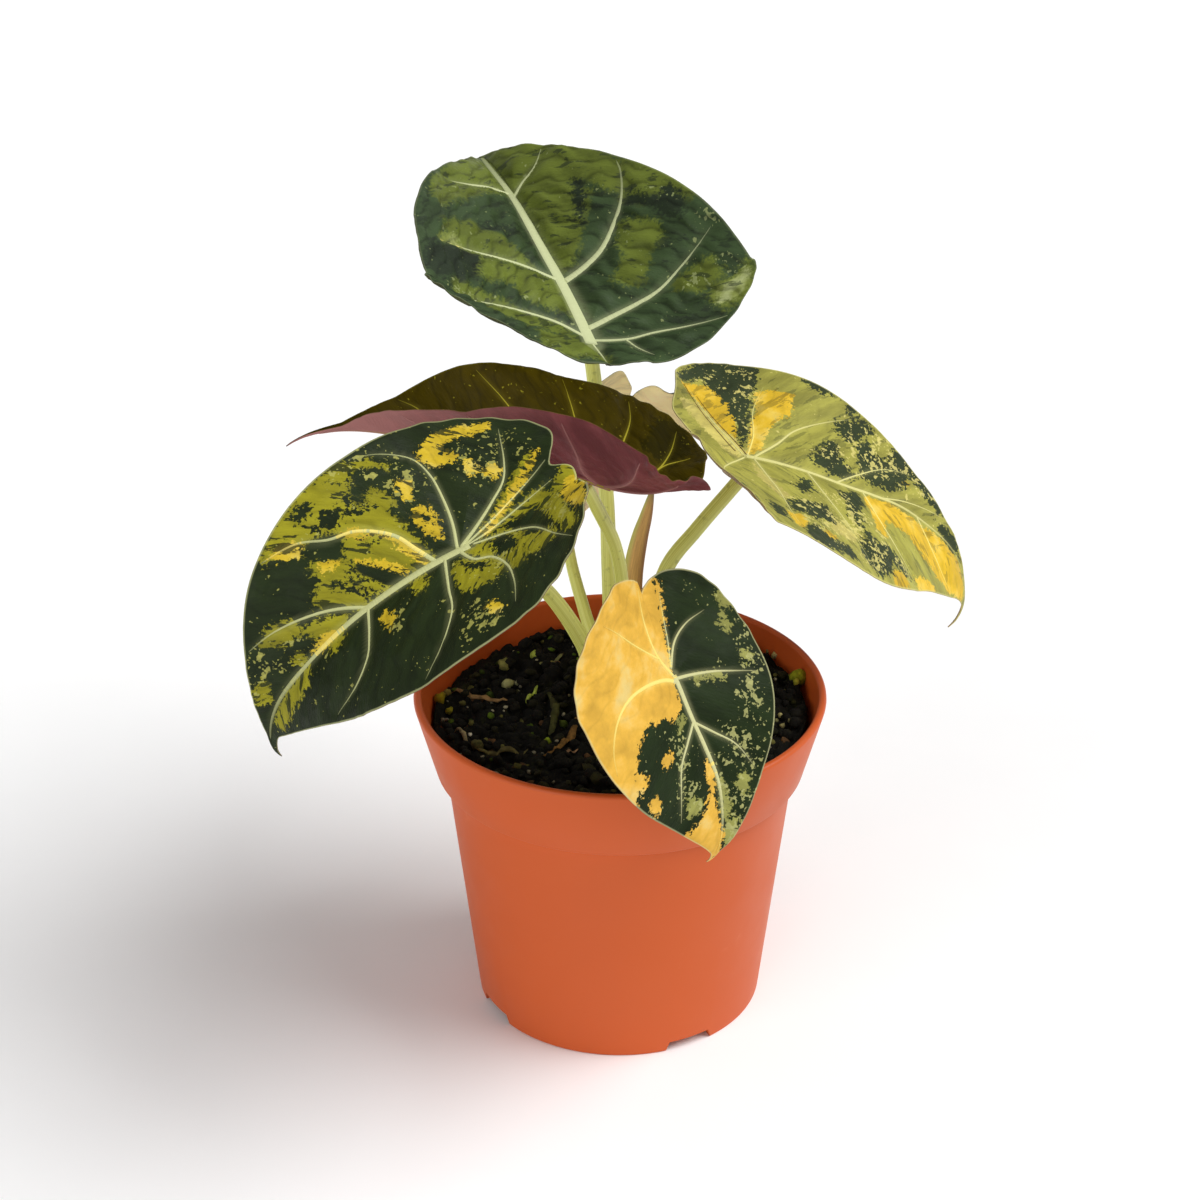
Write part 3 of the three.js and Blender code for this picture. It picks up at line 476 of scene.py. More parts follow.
    ("back", "gold"): [[(-38, 4), (-30, 16), (-22, 10), (-26, -10), (-36, -8)]],
}

# Each petiole: half width at its foot and neck, how far ahead of the junction it meets the blade,
# and the points it passes through; the sheath likewise, with its flatness and taper
PETIOLES = {
    "top": Values(
        foot=2.9, neck=2.1, meets=1,
        path=[(-2, 13, 91), (-2.4, 12.4, 112), (-3.2, 15, 134), (-3.9, 20, 152), (-5.8, 24, 172)],
    ),
    "front_left": Values(
        foot=2.9, neck=2.0, meets=2,
        path=[(-7.7, 0.4, 91), (-9.2, -2.6, 112), (-12.1, -6, 121.3), (-20.4, -20, 142.3), (-31.1, -50, 167)],
    ),
    "right": Values(
        foot=2.9, neck=2.1, meets=2,
        path=[(8.5, 5.5, 91), (8.3, 6.6, 112), (13.5, 9, 135), (22.1, 13, 145.4), (32, 18.6, 155.4)],
    ),
    "front": Values(
        foot=2.7, neck=1.8, meets=1,
        path=[(5, -4.5, 91), (6, -9, 106), (8.6, -22, 121), (11.6, -40, 131)],
    ),
    "back_left": Values(
        foot=2.8, neck=1.9, meets=5,
        path=[(-1.5, -5, 91), (0.4, -5, 113), (0.5, -6, 135.6), (-1.6, -11, 152), (-6.4, -20, 168)],
    ),
    "back": Values(
        foot=2.3, neck=1.65, meets=1,
        path=[
            (-7.7, 7.6, 91), (-7, 10, 107.3), (-10.2, 15, 117),
            (-14.6, 26, 130), (-16, 40, 139.5), (-12, 54, 146),
        ],
    ),
}
SHEATH = Values(
    foot=3.1, tip=0.45, flat=0.55, taper=5,
    path=[(5, 12, 91), (3.6, 13, 112), (3.7, 13, 130), (5.5, 13, 142), (7.5, 13, 150), (9.3, 13, 158.5)],
)
PETIOLE_TAPER = 3
NECK_DEPTH = 0.8

# Each blade's colours: base, lime, gold, dark, ribs, the face below and its ribs. How strong its
# quilting, its small quilting and its frill are, how dark the shade painted into its creases is and
# how pale its margin line is, the slant and spacing of its rows, how soft its markings are and how
# far lime swells, how dark its mottling is and how much it shines.
BLADES = {
    "top": Values(
        base=(54, 70, 41), lime=(104, 116, 44), gold=(120, 130, 58), dark=(36, 46, 30),
        rib=(204, 210, 160), below=(84, 88, 56), below_rib=(120, 116, 80),
        quilt=1.6, small=2, slant=-0.7, crease=0.6, frill=0.3, margin=0.1, spacing=7.5,
        soft=1.4, swell=2.3, mottle=0.7, gloss=0.16,
    ),
    "front_left": Values(
        base=(30, 40, 16), lime=(152, 146, 32), gold=(206, 176, 42), dark=(28, 38, 16),
        rib=(196, 198, 140), below=(110, 66, 62), below_rib=(130, 96, 84),
        quilt=1.1, small=1.4, slant=0.9, crease=0.84, frill=0.25, margin=0.5, spacing=5.6,
        soft=0.22, swell=0.9, mottle=0.9, gloss=0.13,
    ),
    "right": Values(
        base=(154, 150, 66), lime=(206, 192, 104), gold=(224, 184, 44), dark=(46, 56, 30),
        rib=(220, 214, 140), below=(150, 124, 84), below_rib=(160, 140, 100),
        quilt=0.9, small=0.5, slant=0.9, crease=0.94, frill=0.1, margin=0.6, spacing=5.2,
        soft=0.22, swell=0.5, mottle=0.4, gloss=0.16,
    ),
    "front": Values(
        base=(30, 41, 19), lime=(150, 150, 80), gold=(222, 174, 68), dark=(32, 43, 20),
        rib=(206, 204, 150), below=(128, 96, 80), below_rib=(150, 130, 100),
        quilt=0.8, small=0.3, slant=0.75, crease=0.97, frill=0.2, margin=0.5, spacing=5.2,
        soft=0.18, swell=0.5, mottle=0, gloss=0.08,
    ),
    "back_left": Values(
        base=(52, 43, 0), lime=(110, 104, 20), gold=(124, 112, 24), dark=(36, 31, 0),
        rib=(170, 158, 48), below=(116, 62, 64), below_rib=(186, 134, 128),
        quilt=1.1, small=0.9, slant=0.75, crease=0.78, frill=0.3, margin=0.1, spacing=5.2,
        soft=1.2, swell=0.5, mottle=0, gloss=0.03,
    ),
    "back": Values(
        base=(70, 76, 40), lime=(160, 156, 84), gold=(200, 176, 92), dark=(44, 54, 36),
        rib=(190, 180, 124), below=(250, 230, 172), below_rib=(250, 236, 196),
        quilt=0.6, small=0.4, slant=0.75, crease=0.9, frill=0.3, margin=0.1, spacing=5.2,
        soft=0.5, swell=0.5, mottle=0.3, gloss=0.13,
    ),
}


def in_row(points):
    """Points in mm about the pot's axis, as metres in the row frame."""
    return (np.asarray(points, float) + (POT_AXIS[0], POT_AXIS[1], 0.0)) * MM


def colour(red, green, blue):
    """An 8-bit sRGB colour as linear RGBA."""
    def linear(value):
        share = value / 255
        return share / 12.92 if share <= 0.04045 else ((share + 0.055) / 1.055) ** 2.4
    return (linear(red), linear(green), linear(blue), 1.0)


def add_mesh(name, vertices, faces, attributes=None):
    """A smooth mesh object with its attributes, one value or vector for each vertex."""
    mesh = bpy.data.meshes.new(name)
    mesh.from_pydata(np.asarray(vertices).tolist(), [], faces)
    for key, values in (attributes or {}).items():
        vector = values.ndim == 2
        layer = mesh.attributes.new(key, "FLOAT_VECTOR" if vector else "FLOAT", "POINT")
        layer.data.foreach_set("vector" if vector else "value", values.astype(np.float32).ravel())
    mesh.shade_smooth()
    piece = bpy.data.objects.new(name, mesh)
    bpy.context.scene.collection.objects.link(piece)
    return piece


def dress(piece, material, slot, *nodes):
    """Gives a piece its material and puts it in the place of its node; the slot is not used."""
    piece.data.materials.clear()
    piece.data.materials.append(material)
    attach(piece, "root")
    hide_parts(*nodes)


def joined(parts):
    """The vertices and renumbered faces of parts that start with (vertices, faces)."""
    faces = []
    offset = 0
    for vertices, part_faces, *_ in parts:
        faces.extend(tuple(corner + offset for corner in face) for face in part_faces)
        offset += len(vertices)
    return np.vstack([part[0] for part in parts]), faces


def tube_faces(rings, sides):
    """Faces of a closed tube over rings of vertices, each ring anticlockwise about its direction."""
    faces = [tuple(range(sides - 1, -1, -1)), tuple(range((rings - 1) * sides, rings * sides))]
    for ring in range(rings - 1):
        for k in range(sides):
            a = ring * sides + k
            b = ring * sides + (k + 1) % sides
            faces.append((a, b, b + sides, a + sides))
    return faces


def ramp(value, start):
    """Rises from 0 at the start to 1 at a value of 1."""
    return np.clip((value - start) / (1 - start), 0, 1)


class Shader:
    """A node material built in a few words."""

    def __init__(self, name):
        self.material = bpy.data.materials.new(name)
        self.material.use_nodes = True
        self.tree = self.material.node_tree
        self.surface = self.tree.nodes["Principled BSDF"]

    def node(self, kind, inputs, **settings):
        node = self.tree.nodes.new(kind)
        for key, value in settings.items():
            setattr(node, key, value)
        for key, value in inputs.items():
            self.set(node.inputs[key], value)
        return node

    def set(self, socket, value):
        if isinstance(value, bpy.types.NodeSocket):
            self.tree.links.new(value, socket)
        else:
            socket.default_value = value

    def attribute(self, name, vector=False):
        node = self.node("ShaderNodeAttribute", {}, attribute_name=name)
        return node.outputs["Vector" if vector else "Fac"]

    def place(self):
        return self.node("ShaderNodeTexCoord", {}).outputs["Object"]

    def point(self, x, y, z):
        return self.node("ShaderNodeCombineXYZ", {0: x, 1: y, 2: z}).outputs[0]

    def grey(self, value):
        """A value as a grey colour."""
        return self.point(value, value, value)

    def noise(self, where, scale, detail=3.0, roughness=0.55):
        values = {"Vector": where, "Scale": scale, "Detail": detail, "Roughness": roughness}
        return self.node("ShaderNodeTexNoise", values).outputs["Fac"]

    def cracks(self, where, scale):
        """Distance from the borders of seeded cells."""
        values = {"Vector": where, "Scale": scale}
        node = self.node("ShaderNodeTexVoronoi", values, feature="DISTANCE_TO_EDGE")
        return node.outputs["Distance"]

    def maths(self, operation, first, second=0.0, third=0.0):
        values = {0: first, 1: second, 2: third}
        return self.node("ShaderNodeMath", values, operation=operation).outputs[0]

    def step(self, value, low, high, to_low=0.0, to_high=1.0):
        """A smooth step from one value to another."""
        values = {"Value": value, "From Min": low, "From Max": high, "To Min": to_low, "To Max": to_high}
        return self.node("ShaderNodeMapRange", values, interpolation_type="SMOOTHSTEP").outputs["Result"]

    def mix(self, share, first, second, blend="MIX"):
        values = {0: share, 6: first, 7: second}
        return self.node("ShaderNodeMix", values, data_type="RGBA", blend_type=blend).outputs[2]

    def tint(self, tone, share):
        """A colour made darker or brighter."""
        return (tone[0] * share, tone[1] * share, tone[2] * share, 1.0)

    def bump(self, height, strength, distance):
        values = {"Height": height, "Strength": strength, "Distance": distance}
        return self.node("ShaderNodeBump", values).outputs["Normal"]

    def finish(self, **values):
        """Sets the surface's own sockets and gives the material."""
        for key, value in values.items():
            self.set(self.surface.inputs[key.replace("_", " ")], value)
        return self.material


# Curves and distances in a blade's plane
def smooth_knots(knots, count):
    """A uniform Catmull-Rom curve through the knots, with each end mirrored on x."""
    table = np.array(knots, float)
    last = len(table) - 1
    padded = np.vstack([table[1] * (-1, 1), table, table[last - 1] * (-1, 1)])
    along = np.linspace(0, last, count)
    i = np.minimum(along.astype(int), last - 1)
    f = (along - i)[:, None]
    a, b, c, d = padded[i], padded[i + 1], padded[i + 2], padded[i + 3]
    cubic = (3 * b - a - 3 * c + d) * f**3
    curve = 0.5 * (2 * b + (c - a) * f + (2 * a - 5 * b + 4 * c - d) * f**2 + cubic)
    return curve, along


def smooth_path(points, count):
    """A centripetal Catmull-Rom curve through the points, evenly spaced along its length."""
    table = np.array(points, float)
    padded = np.vstack([2 * table[0] - table[1], table, 2 * table[-1] - table[-2]])
    spots = []
    for i in range(len(table) - 1):
        four = padded[i:i + 4]
        gaps = np.linalg.norm(np.diff(four, axis=0), axis=1)
        knots = np.cumsum([0.0, *np.maximum(gaps, 1e-6) ** 0.5])
        for t in np.linspace(knots[1], knots[2], PATH_STEPS, endpoint=False):
            spots.append(segment_point(four, knots, t))
    spots.append(table[-1])
    spots = np.array(spots)
    length = np.concatenate([[0], np.cumsum(np.linalg.norm(np.diff(spots, axis=0), axis=1))])
    even = np.linspace(0, length[-1], count)
    return np.stack([np.interp(even, length, column) for column in spots.T], -1)


def segment_point(points, knots, t):
    """A point of the Catmull-Rom segment between the second and third of four points."""
    a, b, c, d = points
    t0, t1, t2, t3 = knots
    first = (a * (t1 - t) + b * (t - t0)) / (t1 - t0)
    second = (b * (t2 - t) + c * (t - t1)) / (t2 - t1)
    third = (c * (t3 - t) + d * (t - t2)) / (t3 - t2)
    early = (first * (t2 - t) + second * (t - t0)) / (t2 - t0)
    late = (second * (t3 - t) + third * (t - t1)) / (t3 - t1)
    return (early * (t2 - t) + late * (t - t1)) / (t2 - t1)


def segment_distance(points, line):
    """Distance from each point to a line of points, and the share of the line nearest to it."""
    nearest = np.full(len(points), np.inf)
    where = np.zeros(len(points))
    for i, (start, end) in enumerate(zip(line[:-1], line[1:])):
        run = end - start
        share = np.clip(((points - start) @ run) / max(run @ run, 1e-9), 0, 1)
        away = np.linalg.norm(points - start - share[:, None] * run, axis=1)
        closer = away < nearest
        nearest[closer] = away[closer]
        where[closer] = (i + share[closer]) / (len(line) - 1)
    return nearest, where


def patch_field(points, patches):
    """How deep each point lies inside the nearest patch in mm, below zero outside all of them."""
    field = np.full(len(points), -FIELD_REACH)
    for patch in patches:
        corners = np.array(patch, float)
        inside = np.zeros(len(points), bool)
        for (ax, ay), (bx, by) in zip(corners, np.roll(corners, -1, axis=0)):
            if ay != by:
                crosses = (ay > points[:, 1]) != (by > points[:, 1])
                inside ^= crosses & (points[:, 0] < ax + (points[:, 1] - ay) * (bx - ax) / (by - ay))
        distance, _ = segment_distance(points, np.vstack([corners, corners[:1]]))
        field = np.maximum(field, np.where(inside, distance, -distance))
    return field


# Leaf blades
def leaf_outline(leaf):
    """The blade's outline in its plane, in mm: tip, right side, sinus, left side."""
    knots = [list(pair) for pair in HALF_OUTLINE]
    knots[-1][1] *= leaf.sinus
    knots[-2][1] *= SINUS_FOLLOW * leaf.sinus + 1 - SINUS_FOLLOW
    curve, along = smooth_knots(knots, HALF_SAMPLES)
    tail = leaf.tail * np.maximum(0, 1 - along) ** TAIL_POWER
    sides = []
    for half, lobe in ((leaf.right, leaf.lobe), (-leaf.left, leaf.lobe * leaf.left_lobe)):
        y = np.where(curve[:, 1] > 0, curve[:, 1] * leaf.length, curve[:, 1] * lobe) + tail
        sides.append(np.stack([half * curve[:, 0], y], -1))
    outline = np.vstack([sides[0], sides[1][1:-1][::-1]])
    if hasattr(leaf, "notch"):
        at, width, depth = leaf.notch
        off = np.degrees(np.arctan2(outline[:, 0], -outline[:, 1])) - at
        outline = outline * (1 - depth * np.exp(-(off / width) ** 2))[:, None]
    return outline


def midrib_turn(leaf, share, ahead):
    """How far the midrib has turned up at a share of its reach, ahead of or behind the junction."""
    if not ahead:
        return math.radians(leaf.lobe_droop) * share
    extra = np.maximum(0, (share - TIP_START) / (1 - TIP_START)) ** 2
    return -math.radians(leaf.droop) * share - math.radians(leaf.tip_droop) * extra


def midrib_reach(leaf, ahead):
    """Shares of the midrib, and how far it has come forward and upward at each of them."""
    shares = np.arange(0, MIDRIB_REACH, MIDRIB_STEP)
    turn = midrib_turn(leaf, shares[:-1] + MIDRIB_STEP / 2, ahead)
    forward = np.concatenate([[0], np.cumsum(np.cos(turn))]) * MIDRIB_STEP
    up = np.concatenate([[0], np.cumsum(np.sin(turn))]) * MIDRIB_STEP
    return shares, forward, up


def leaf_frame(leaf):
    """The leaf's own axes: to its right, ahead to its tip, and out of its upper face."""
    heading, pitch, roll = (math.radians(angle) for angle in (leaf.heading, leaf.pitch, leaf.roll))
    level = np.array([math.cos(heading), -math.sin(heading), 0])
    run = math.cos(pitch)
    ahead = np.array([math.sin(heading) * run, math.cos(heading) * run, math.sin(pitch)])
    up = np.cross(level, ahead)
    side = level * math.cos(roll) + up * math.sin(roll)
    normal = up * math.cos(roll) - level * math.sin(roll)
    return np.stack([side, ahead, normal])


def leaf_wave(leaf, x, y, half):
    """Height of the broad waves toward the blade's edge."""
    height, count, phase = leaf.wave
    reach = np.where(y > 0, leaf.length, leaf.lobe)
    share = np.minimum(OUTER_SHARE, np.hypot(x / half, y / reach))
    height = height * share**3 * np.minimum(1, np.abs(x) / (WAVE_INSIDE * leaf.right))
    round_junction = np.arctan2(x / leaf.right, y / leaf.length)
    return height * np.sin(count * round_junction + math.radians(phase))


def leaf_point(leaf, x, y):
    """The blade's middle surface over its flat coordinates, in mm about the pot's axis."""
    right = x > 0
    half = np.where(right, leaf.right, leaf.left)
    fold = np.radians(np.where(right, leaf.fold_right, leaf.fold_left))
    fold = fold + math.radians(leaf.fold_change) * y / leaf.length
    curl = np.radians(np.where(right, leaf.curl_right, leaf.curl_left)) / half
    out = np.abs(x)
    across = np.sign(x) * (np.sin(fold + curl * out) - np.sin(fold)) / curl
    rise = (np.cos(fold) - np.cos(fold + curl * out)) / curl
    twist = math.radians(leaf.twist) * y / leaf.length
    sideways = across * np.cos(twist) + rise * np.sin(twist)
    lift = rise * np.cos(twist) - across * np.sin(twist) + leaf_wave(leaf, x, y, half)
    forward, up, turn = np.zeros((3, len(x)))
    for ahead, reach, sign in ((True, leaf.length, 1), (False, leaf.lobe, -1)):
        shares, run, climb = midrib_reach(leaf, ahead)
        mask = (y >= 0) == ahead
        part = np.abs(y[mask]) / reach
        forward[mask] = sign * reach * np.interp(part, shares, run)
        up[mask] = sign * reach * np.interp(part, shares, climb)
        turn[mask] = midrib_turn(leaf, part, ahead)
    local = np.stack([sideways, forward - np.sin(turn) * lift, up + np.cos(turn) * lift], -1)
    return local @ leaf_frame(leaf) + np.array(leaf.junction)


def leaf_normal(leaf, x, y):
    """Directions out of the blade's upper face."""
    across = leaf_point(leaf, x + NORMAL_STEP, y) - leaf_point(leaf, x - NORMAL_STEP, y)
    along = leaf_point(leaf, x, y + NORMAL_STEP) - leaf_point(leaf, x, y - NORMAL_STEP)
    return unit(np.cross(across, along))


def unit(vectors):
    """Vectors in rows, each at a length of 1."""
    return vectors / np.linalg.norm(vectors, axis=1, keepdims=True)


def vein_lines(name):
    """The ribs that lie inside the blade as (line, half width at the root, half width at the end)."""
    outline = leaf_outline(LEAVES[name])
    lines = []
    for points, root, end in RIBS[name]:
        line = smooth_path(points, RIB.steps)
        outside = np.flatnonzero(patch_field(line, [outline]) < RIB.margin)
        lines.append((line[:outside[0]] if len(outside) else line, root, end))
    return lines


def scar_lines(name):
    """The torn creases of the blade as (line, half width at the root, half width at the end)."""
    return [(smooth_path(points, RIB.steps), SCAR_WIDTH, SCAR_WIDTH / 2) for points in SCARS.get(name, [])]


def row_heights(name, flat, distance):
    """Height of the small quilting between rows that run out from the midrib, and the rows' count."""
    look = BLADES[name]
    x, y = flat.T
    out = np.abs(x)
    slow = np.sin(x * SLOW_TURNS.across + SLOW_TURNS.side * np.sign(x))
    slow = slow * np.cos(y * SLOW_TURNS.along)
    quick = sum(np.sin(x * across + y * along) for across, along in QUICK_TURNS)
    count = y - look.slant * out + ROWS.bow * out**2 + ROWS.slow * slow + ROWS.quick * quick
    count = count / look.spacing
    height = SMALL_QUILT.height * look.small * np.abs(np.sin(math.pi * count)) ** SMALL_QUILT.power
    height = height * (1 - np.exp(-distance / SMALL_QUILT.reach))
    turn = ROW_HEIGHT.out * out + ROW_HEIGHT.row * np.floor(count) + ROW_HEIGHT.slow * slow
    return height * (ROW_HEIGHT.mean + ROW_HEIGHT.swing * np.sin(turn)), count


def blade_relief(name, flat, distance):
    """Height of the blade's quilting, which swells between main veins and between small ones."""
    leaf = LEAVES[name]
    look = BLADES[name]
    x, y = flat.T
    swell = QUILT.height * (1 - np.exp(-(distance / QUILT.reach) ** QUILT.power))
    small, count = row_heights(name, flat, distance)
    right = x / np.where(x > 0, leaf.right, leaf.left)
    ahead = y / np.where(y > 0, leaf.length, leaf.lobe)
    edge = np.hypot(right, ahead)
    fade = 1 - FADE.depth * ramp(edge, FADE.start)
    round_blade = np.arctan2(right, ahead)
    turn = FRILL.waves * round_blade + FRILL.sway * np.sin(FRILL.sways * round_blade)
    frill = look.frill * ramp(edge, FRILL.start) ** 2 * np.sin(turn)
    return (swell + small) * fade * look.quilt + frill, count


def sheet_faces(count):
    """Faces of a sheet with a middle vertex and rings of so many vertices, above and then below."""
    total = 1 + RINGS * count
    faces = []
    for i in range(count):
        j = (i + 1) % count
        faces.append((0, 1 + j, 1 + i))
        faces.append((total, total + 1 + i, total + 1 + j))
        for inner in range(1, total - count, count):
            outer = inner + count
            faces.append((inner + i, inner + j, outer + j, outer + i))
            faces.append((total + inner + i, total + outer + i, total + outer + j, total + inner + j))
        rim = total - count
        faces.append((rim + i, rim + j, total + rim + j, total + rim + i))
    return faces


def blade_sheet(name):
    """The blade's two faces and rim: vertices in mm, faces, flat coordinates and attributes."""
    leaf = LEAVES[name]
    outline = leaf_outline(leaf)
    count = len(outline)
    shares = np.linspace(0, 1, RINGS + 1)[1:] ** RING_POWER
    flat = np.vstack([[(0, 0)]] + [outline * share for share in shares])
    total = len(flat)
    distance = np.full(total, np.inf)
    glow = np.zeros(total)
    for line, root, end in vein_lines(name):
        away, share = segment_distance(flat, line)
        beside = np.maximum(0, away - rib_width(root, end, share))
        distance = np.minimum(distance, beside)
        reach = GLOW.reach + GLOW.wider * root
        glow = np.maximum(glow, (1 - share) ** GLOW.power * np.exp(-(beside / reach) ** 2))
    for line, _, _ in scar_lines(name):
        distance = np.minimum(distance, segment_distance(flat, line)[0])
    relief, rows = blade_relief(name, flat, distance)
    middle = leaf_point(leaf, *flat.T)
    normal = leaf_normal(leaf, *flat.T)
    share = np.concatenate([[0], np.repeat(shares, count)])
    thin = SHEET / 2 * (1 - RIM.thinner * ramp(share, RIM.start))
    upper = middle + normal * (relief + thin)[:, None]
    lower = middle + normal * (relief - thin)[:, None]
    reach = np.linalg.norm(outline, axis=1)
    edge = np.concatenate([[INSIDE], np.repeat(1 - shares, count) * np.tile(reach, RINGS)])
    attributes = {
        "glow": np.tile(glow, 2), "small": np.tile(rows, 2), "edge": np.tile(edge, 2),
        "rib": np.zeros(2 * total), "under": np.repeat([0.0, 1.0], total),
    }
    return np.vstack([upper, lower]), sheet_faces(count), np.vstack([flat, flat]), attributes


def rib_width(root, end, share):
    """Half width of a rib at a share of its length."""
    return end + (root - end) * (1 - share) ** RIB.taper


def rib_tube(name, line, root, end, mark=None):
    """A slim rib along a vein, proud of the blade a little above and more below."""
    leaf = LEAVES[name]
    count = len(line)
    sides = RIB.sides
    share = np.linspace(0, 1, count)
    width = rib_width(root, end, share)
    width[-1] *= RIB.end
    relief, _ = blade_relief(name, line, np.zeros(count))
    middle = leaf_point(leaf, *line.T)
    normal = leaf_normal(leaf, *line.T)
    side = unit(np.cross(np.gradient(middle, axis=0), normal))
    middle = middle + normal * relief[:, None]
    above = SHEET / 2 + RIB_ABOVE[0] + RIB_ABOVE[1] * width
    below = SHEET / 2 + RIB_BELOW[0] + RIB_BELOW[1] * width
    turns = [2 * math.pi * k / sides for k in range(sides)]
    rows = []
    for turn in turns:
        lift = math.sin(turn) * (above if math.sin(turn) > 0 else below)
        rows.append(middle + side * (width * math.cos(turn))[:, None] + normal * lift[:, None])
    faces = [(face[0], *face[:0:-1]) for face in tube_faces(count, sides)]
    total = count * sides
    rib = 1 - RIB_FADE.depth * share ** RIB_FADE.power if mark is None else np.full(count, mark)
    under = [float(math.sin(turn) < RIB_UNDER) for turn in turns]
    attributes = {
        "glow": np.ones(total), "small": np.full(total, 0.5), "edge": np.full(total, INSIDE),
        "rib": np.repeat(rib, sides), "under": np.tile(under, count),
    }
    return np.stack(rows, 1).reshape(-1, 3), faces, np.repeat(line, sides, axis=0), attributes


def blade_piece(name, material):
    """A blade with its ribs and scars as one piece, and the fields of its markings."""
    parts = [blade_sheet(name)]
    parts += [rib_tube(name, *line) for line in vein_lines(name)]
    parts += [rib_tube(name, *line, SCAR_MARK) for line in scar_lines(name)]
    vertices, faces = joined(parts)
    flat = np.vstack([part[2] for part in parts])
    attributes = {key: np.concatenate([part[3][key] for part in parts]) for key in parts[0][3]}
    for key in ("lime", "gold", "dark", "specks"):
        field = patch_field(flat, MARKINGS.get((name, key), []))
        attributes[key] = np.clip(field, -FIELD_REACH, FIELD_REACH)
    x, y = flat.T
    across, along, side = GRAIN_STRETCH
    slanted = y - BLADES[name].slant * np.abs(x)
    attributes["flat"] = np.stack([x, y, np.zeros(len(x))], -1) * MM
    attributes["grain"] = np.stack([x * across, slanted * along, np.sign(x) * side], -1) * MM
    piece = add_mesh(name=f"leaf_{name}", vertices=in_row(vertices), faces=faces, attributes=attributes)
    dress(piece, material, f"blade_{name}", f"blade_{name}")


class LeafShader(Shader):
    """The skin of one blade: its markings and veins above, and its duller face below."""

    def __init__(self, name):
        super().__init__(f"leaf {name}")
        self.look = BLADES[name]
        self.tones = {key: colour(*getattr(self.look, key)) for key in LEAF_TONES}
        self.flat = self.attribute("flat", vector=True)
        self.grain = self.attribute("grain", vector=True)
        self.glow = self.attribute("glow")
        self.cloud = self.noise(self.grain, LEAF_NOISE.cloud, detail=6, roughness=0.65)

    def marking(self, key, swell, soft):
        """Where a marking lies: its patches with their borders broken up by noise."""
        wobble = WOBBLE[key]
        coarse = self.noise(self.grain, LEAF_NOISE.coarse, detail=8, roughness=0.72)
        coarse = self.maths("MULTIPLY_ADD", coarse, 2 * wobble, swell - wobble)
        fine = self.noise(self.flat, LEAF_NOISE.fine, detail=4, roughness=0.65)
        fine = self.maths("MULTIPLY_ADD", fine, 2 * FINE_WOBBLE * wobble, -FINE_WOBBLE * wobble)
        depth = self.maths("ADD", self.maths("ADD", self.attribute(key), coarse), fine)
        return self.step(depth, -soft, soft)

    def ground(self):
        """The clouded base colour with lime over it."""
        lime = self.tones["lime"]
        shade = self.grey(self.step(self.cloud, *WIDE, 0.7, 1.28))
        skin = self.mix(1.0, self.tones["base"], shade, "MULTIPLY")
        share = self.marking("lime", self.look.swell, self.look.soft + 0.15)
        return self.mix(share, skin, self.mix(self.step(self.cloud, *NARROW), lime, self.tint(lime, 0.68)))

    def golden(self, skin):
        """The skin with gold over it, and where the gold lies."""
        gold = self.tones["gold"]
        cloud = self.noise(self.flat, LEAF_NOISE.gold, detail=5, roughness=0.6)
        tone = self.mix(self.step(cloud, 0.35, 0.6), self.tint(gold, 0.74), gold)
        tone = self.mix(self.step(cloud, 0.5, 0.7, 0.0, 0.45), tone, self.tones["rib"])
        share = self.marking("gold", SWELL, self.look.soft)
        return self.mix(share, skin, tone), share

    def darkened(self, skin):
        """The skin with mottling and dark patches over it."""
        dark = self.tones["dark"]
        soft = self.look.soft
        tone = self.mix(self.step(self.cloud, *WIDE), self.tint(dark, 0.75), self.tint(dark, 1.25))
        blots = self.noise(self.grain, LEAF_NOISE.coarse, detail=5, roughness=0.6)
        blots = self.step(blots, 0.57, 0.58 + 0.03 * soft, 0.0, self.look.mottle)
        skin = self.mix(blots, skin, tone)
        return self.mix(self.marking("dark", SWELL, soft), skin, tone)

    def speckled(self, skin, gold_share):
        """The skin with pale specks, more of them in their own patches and none on the gold."""
        bed = self.step(self.attribute("specks"), -2.5, 3.0, 0.0, 0.13)
        drift = self.step(self.noise(self.flat, LEAF_NOISE.drift), *WIDE, -0.1, 0.1)
        plain = self.maths("SUBTRACT", 1.0, gold_share)
        tone = self.mix(0.3, self.tones["lime"], self.tones["rib"])
        for scale, level in SPECKS:
            spot = self.noise(self.flat, scale, detail=2, roughness=0.5)
            spot = self.maths("ADD", self.maths("ADD", spot, bed), drift)
            spot = self.maths("MULTIPLY", self.step(spot, level, level + 0.03, 0.0, 0.7), plain)
            skin = self.mix(spot, skin, tone)
        return skin

    def shaded_in_creases(self, skin):
        """The skin with shade painted into the broken creases between rows of quilting."""
        rows = self.maths("MULTIPLY", self.attribute("small"), math.pi)
        rows = self.maths("SUBTRACT", self.maths("ABSOLUTE", self.maths("SINE", rows)), 0.45)
        broken = self.noise(self.grain, LEAF_NOISE.broken, detail=3)
        crease = self.maths("MULTIPLY_ADD", broken, 1.3, rows)
        # Painted shade: the colour is darkened in the creases to stand in for the shade that falls between
        # rows of quilting.
        crease = self.step(crease, 0.0, 0.9, self.look.crease, 1.08)
        return self.mix(1.0, skin, self.grey(crease), "MULTIPLY")

    def veined(self, skin, gold_share):
        """The skin with pale veins, a glow beside them, the margin line and the scars."""
        rib = self.attribute("rib")
        margin = self.step(self.attribute("edge"), 0.2, 0.6, self.look.margin, 0.0)
        tone = self.mix(self.maths("MULTIPLY", gold_share, 0.9), self.tones["rib"], colour(*GOLD_VEIN))
        skin = self.mix(self.maths("MULTIPLY", self.glow, 0.2), skin, tone)
        skin = self.mix(margin, skin, self.tones["rib"])
        skin = self.mix(self.step(rib, 0.1, 0.8, 0.0, 0.95), skin, tone)
        return self.mix(self.step(rib, -0.9, -0.5, 0.9, 0.0), skin, colour(*SCAR_TONE))

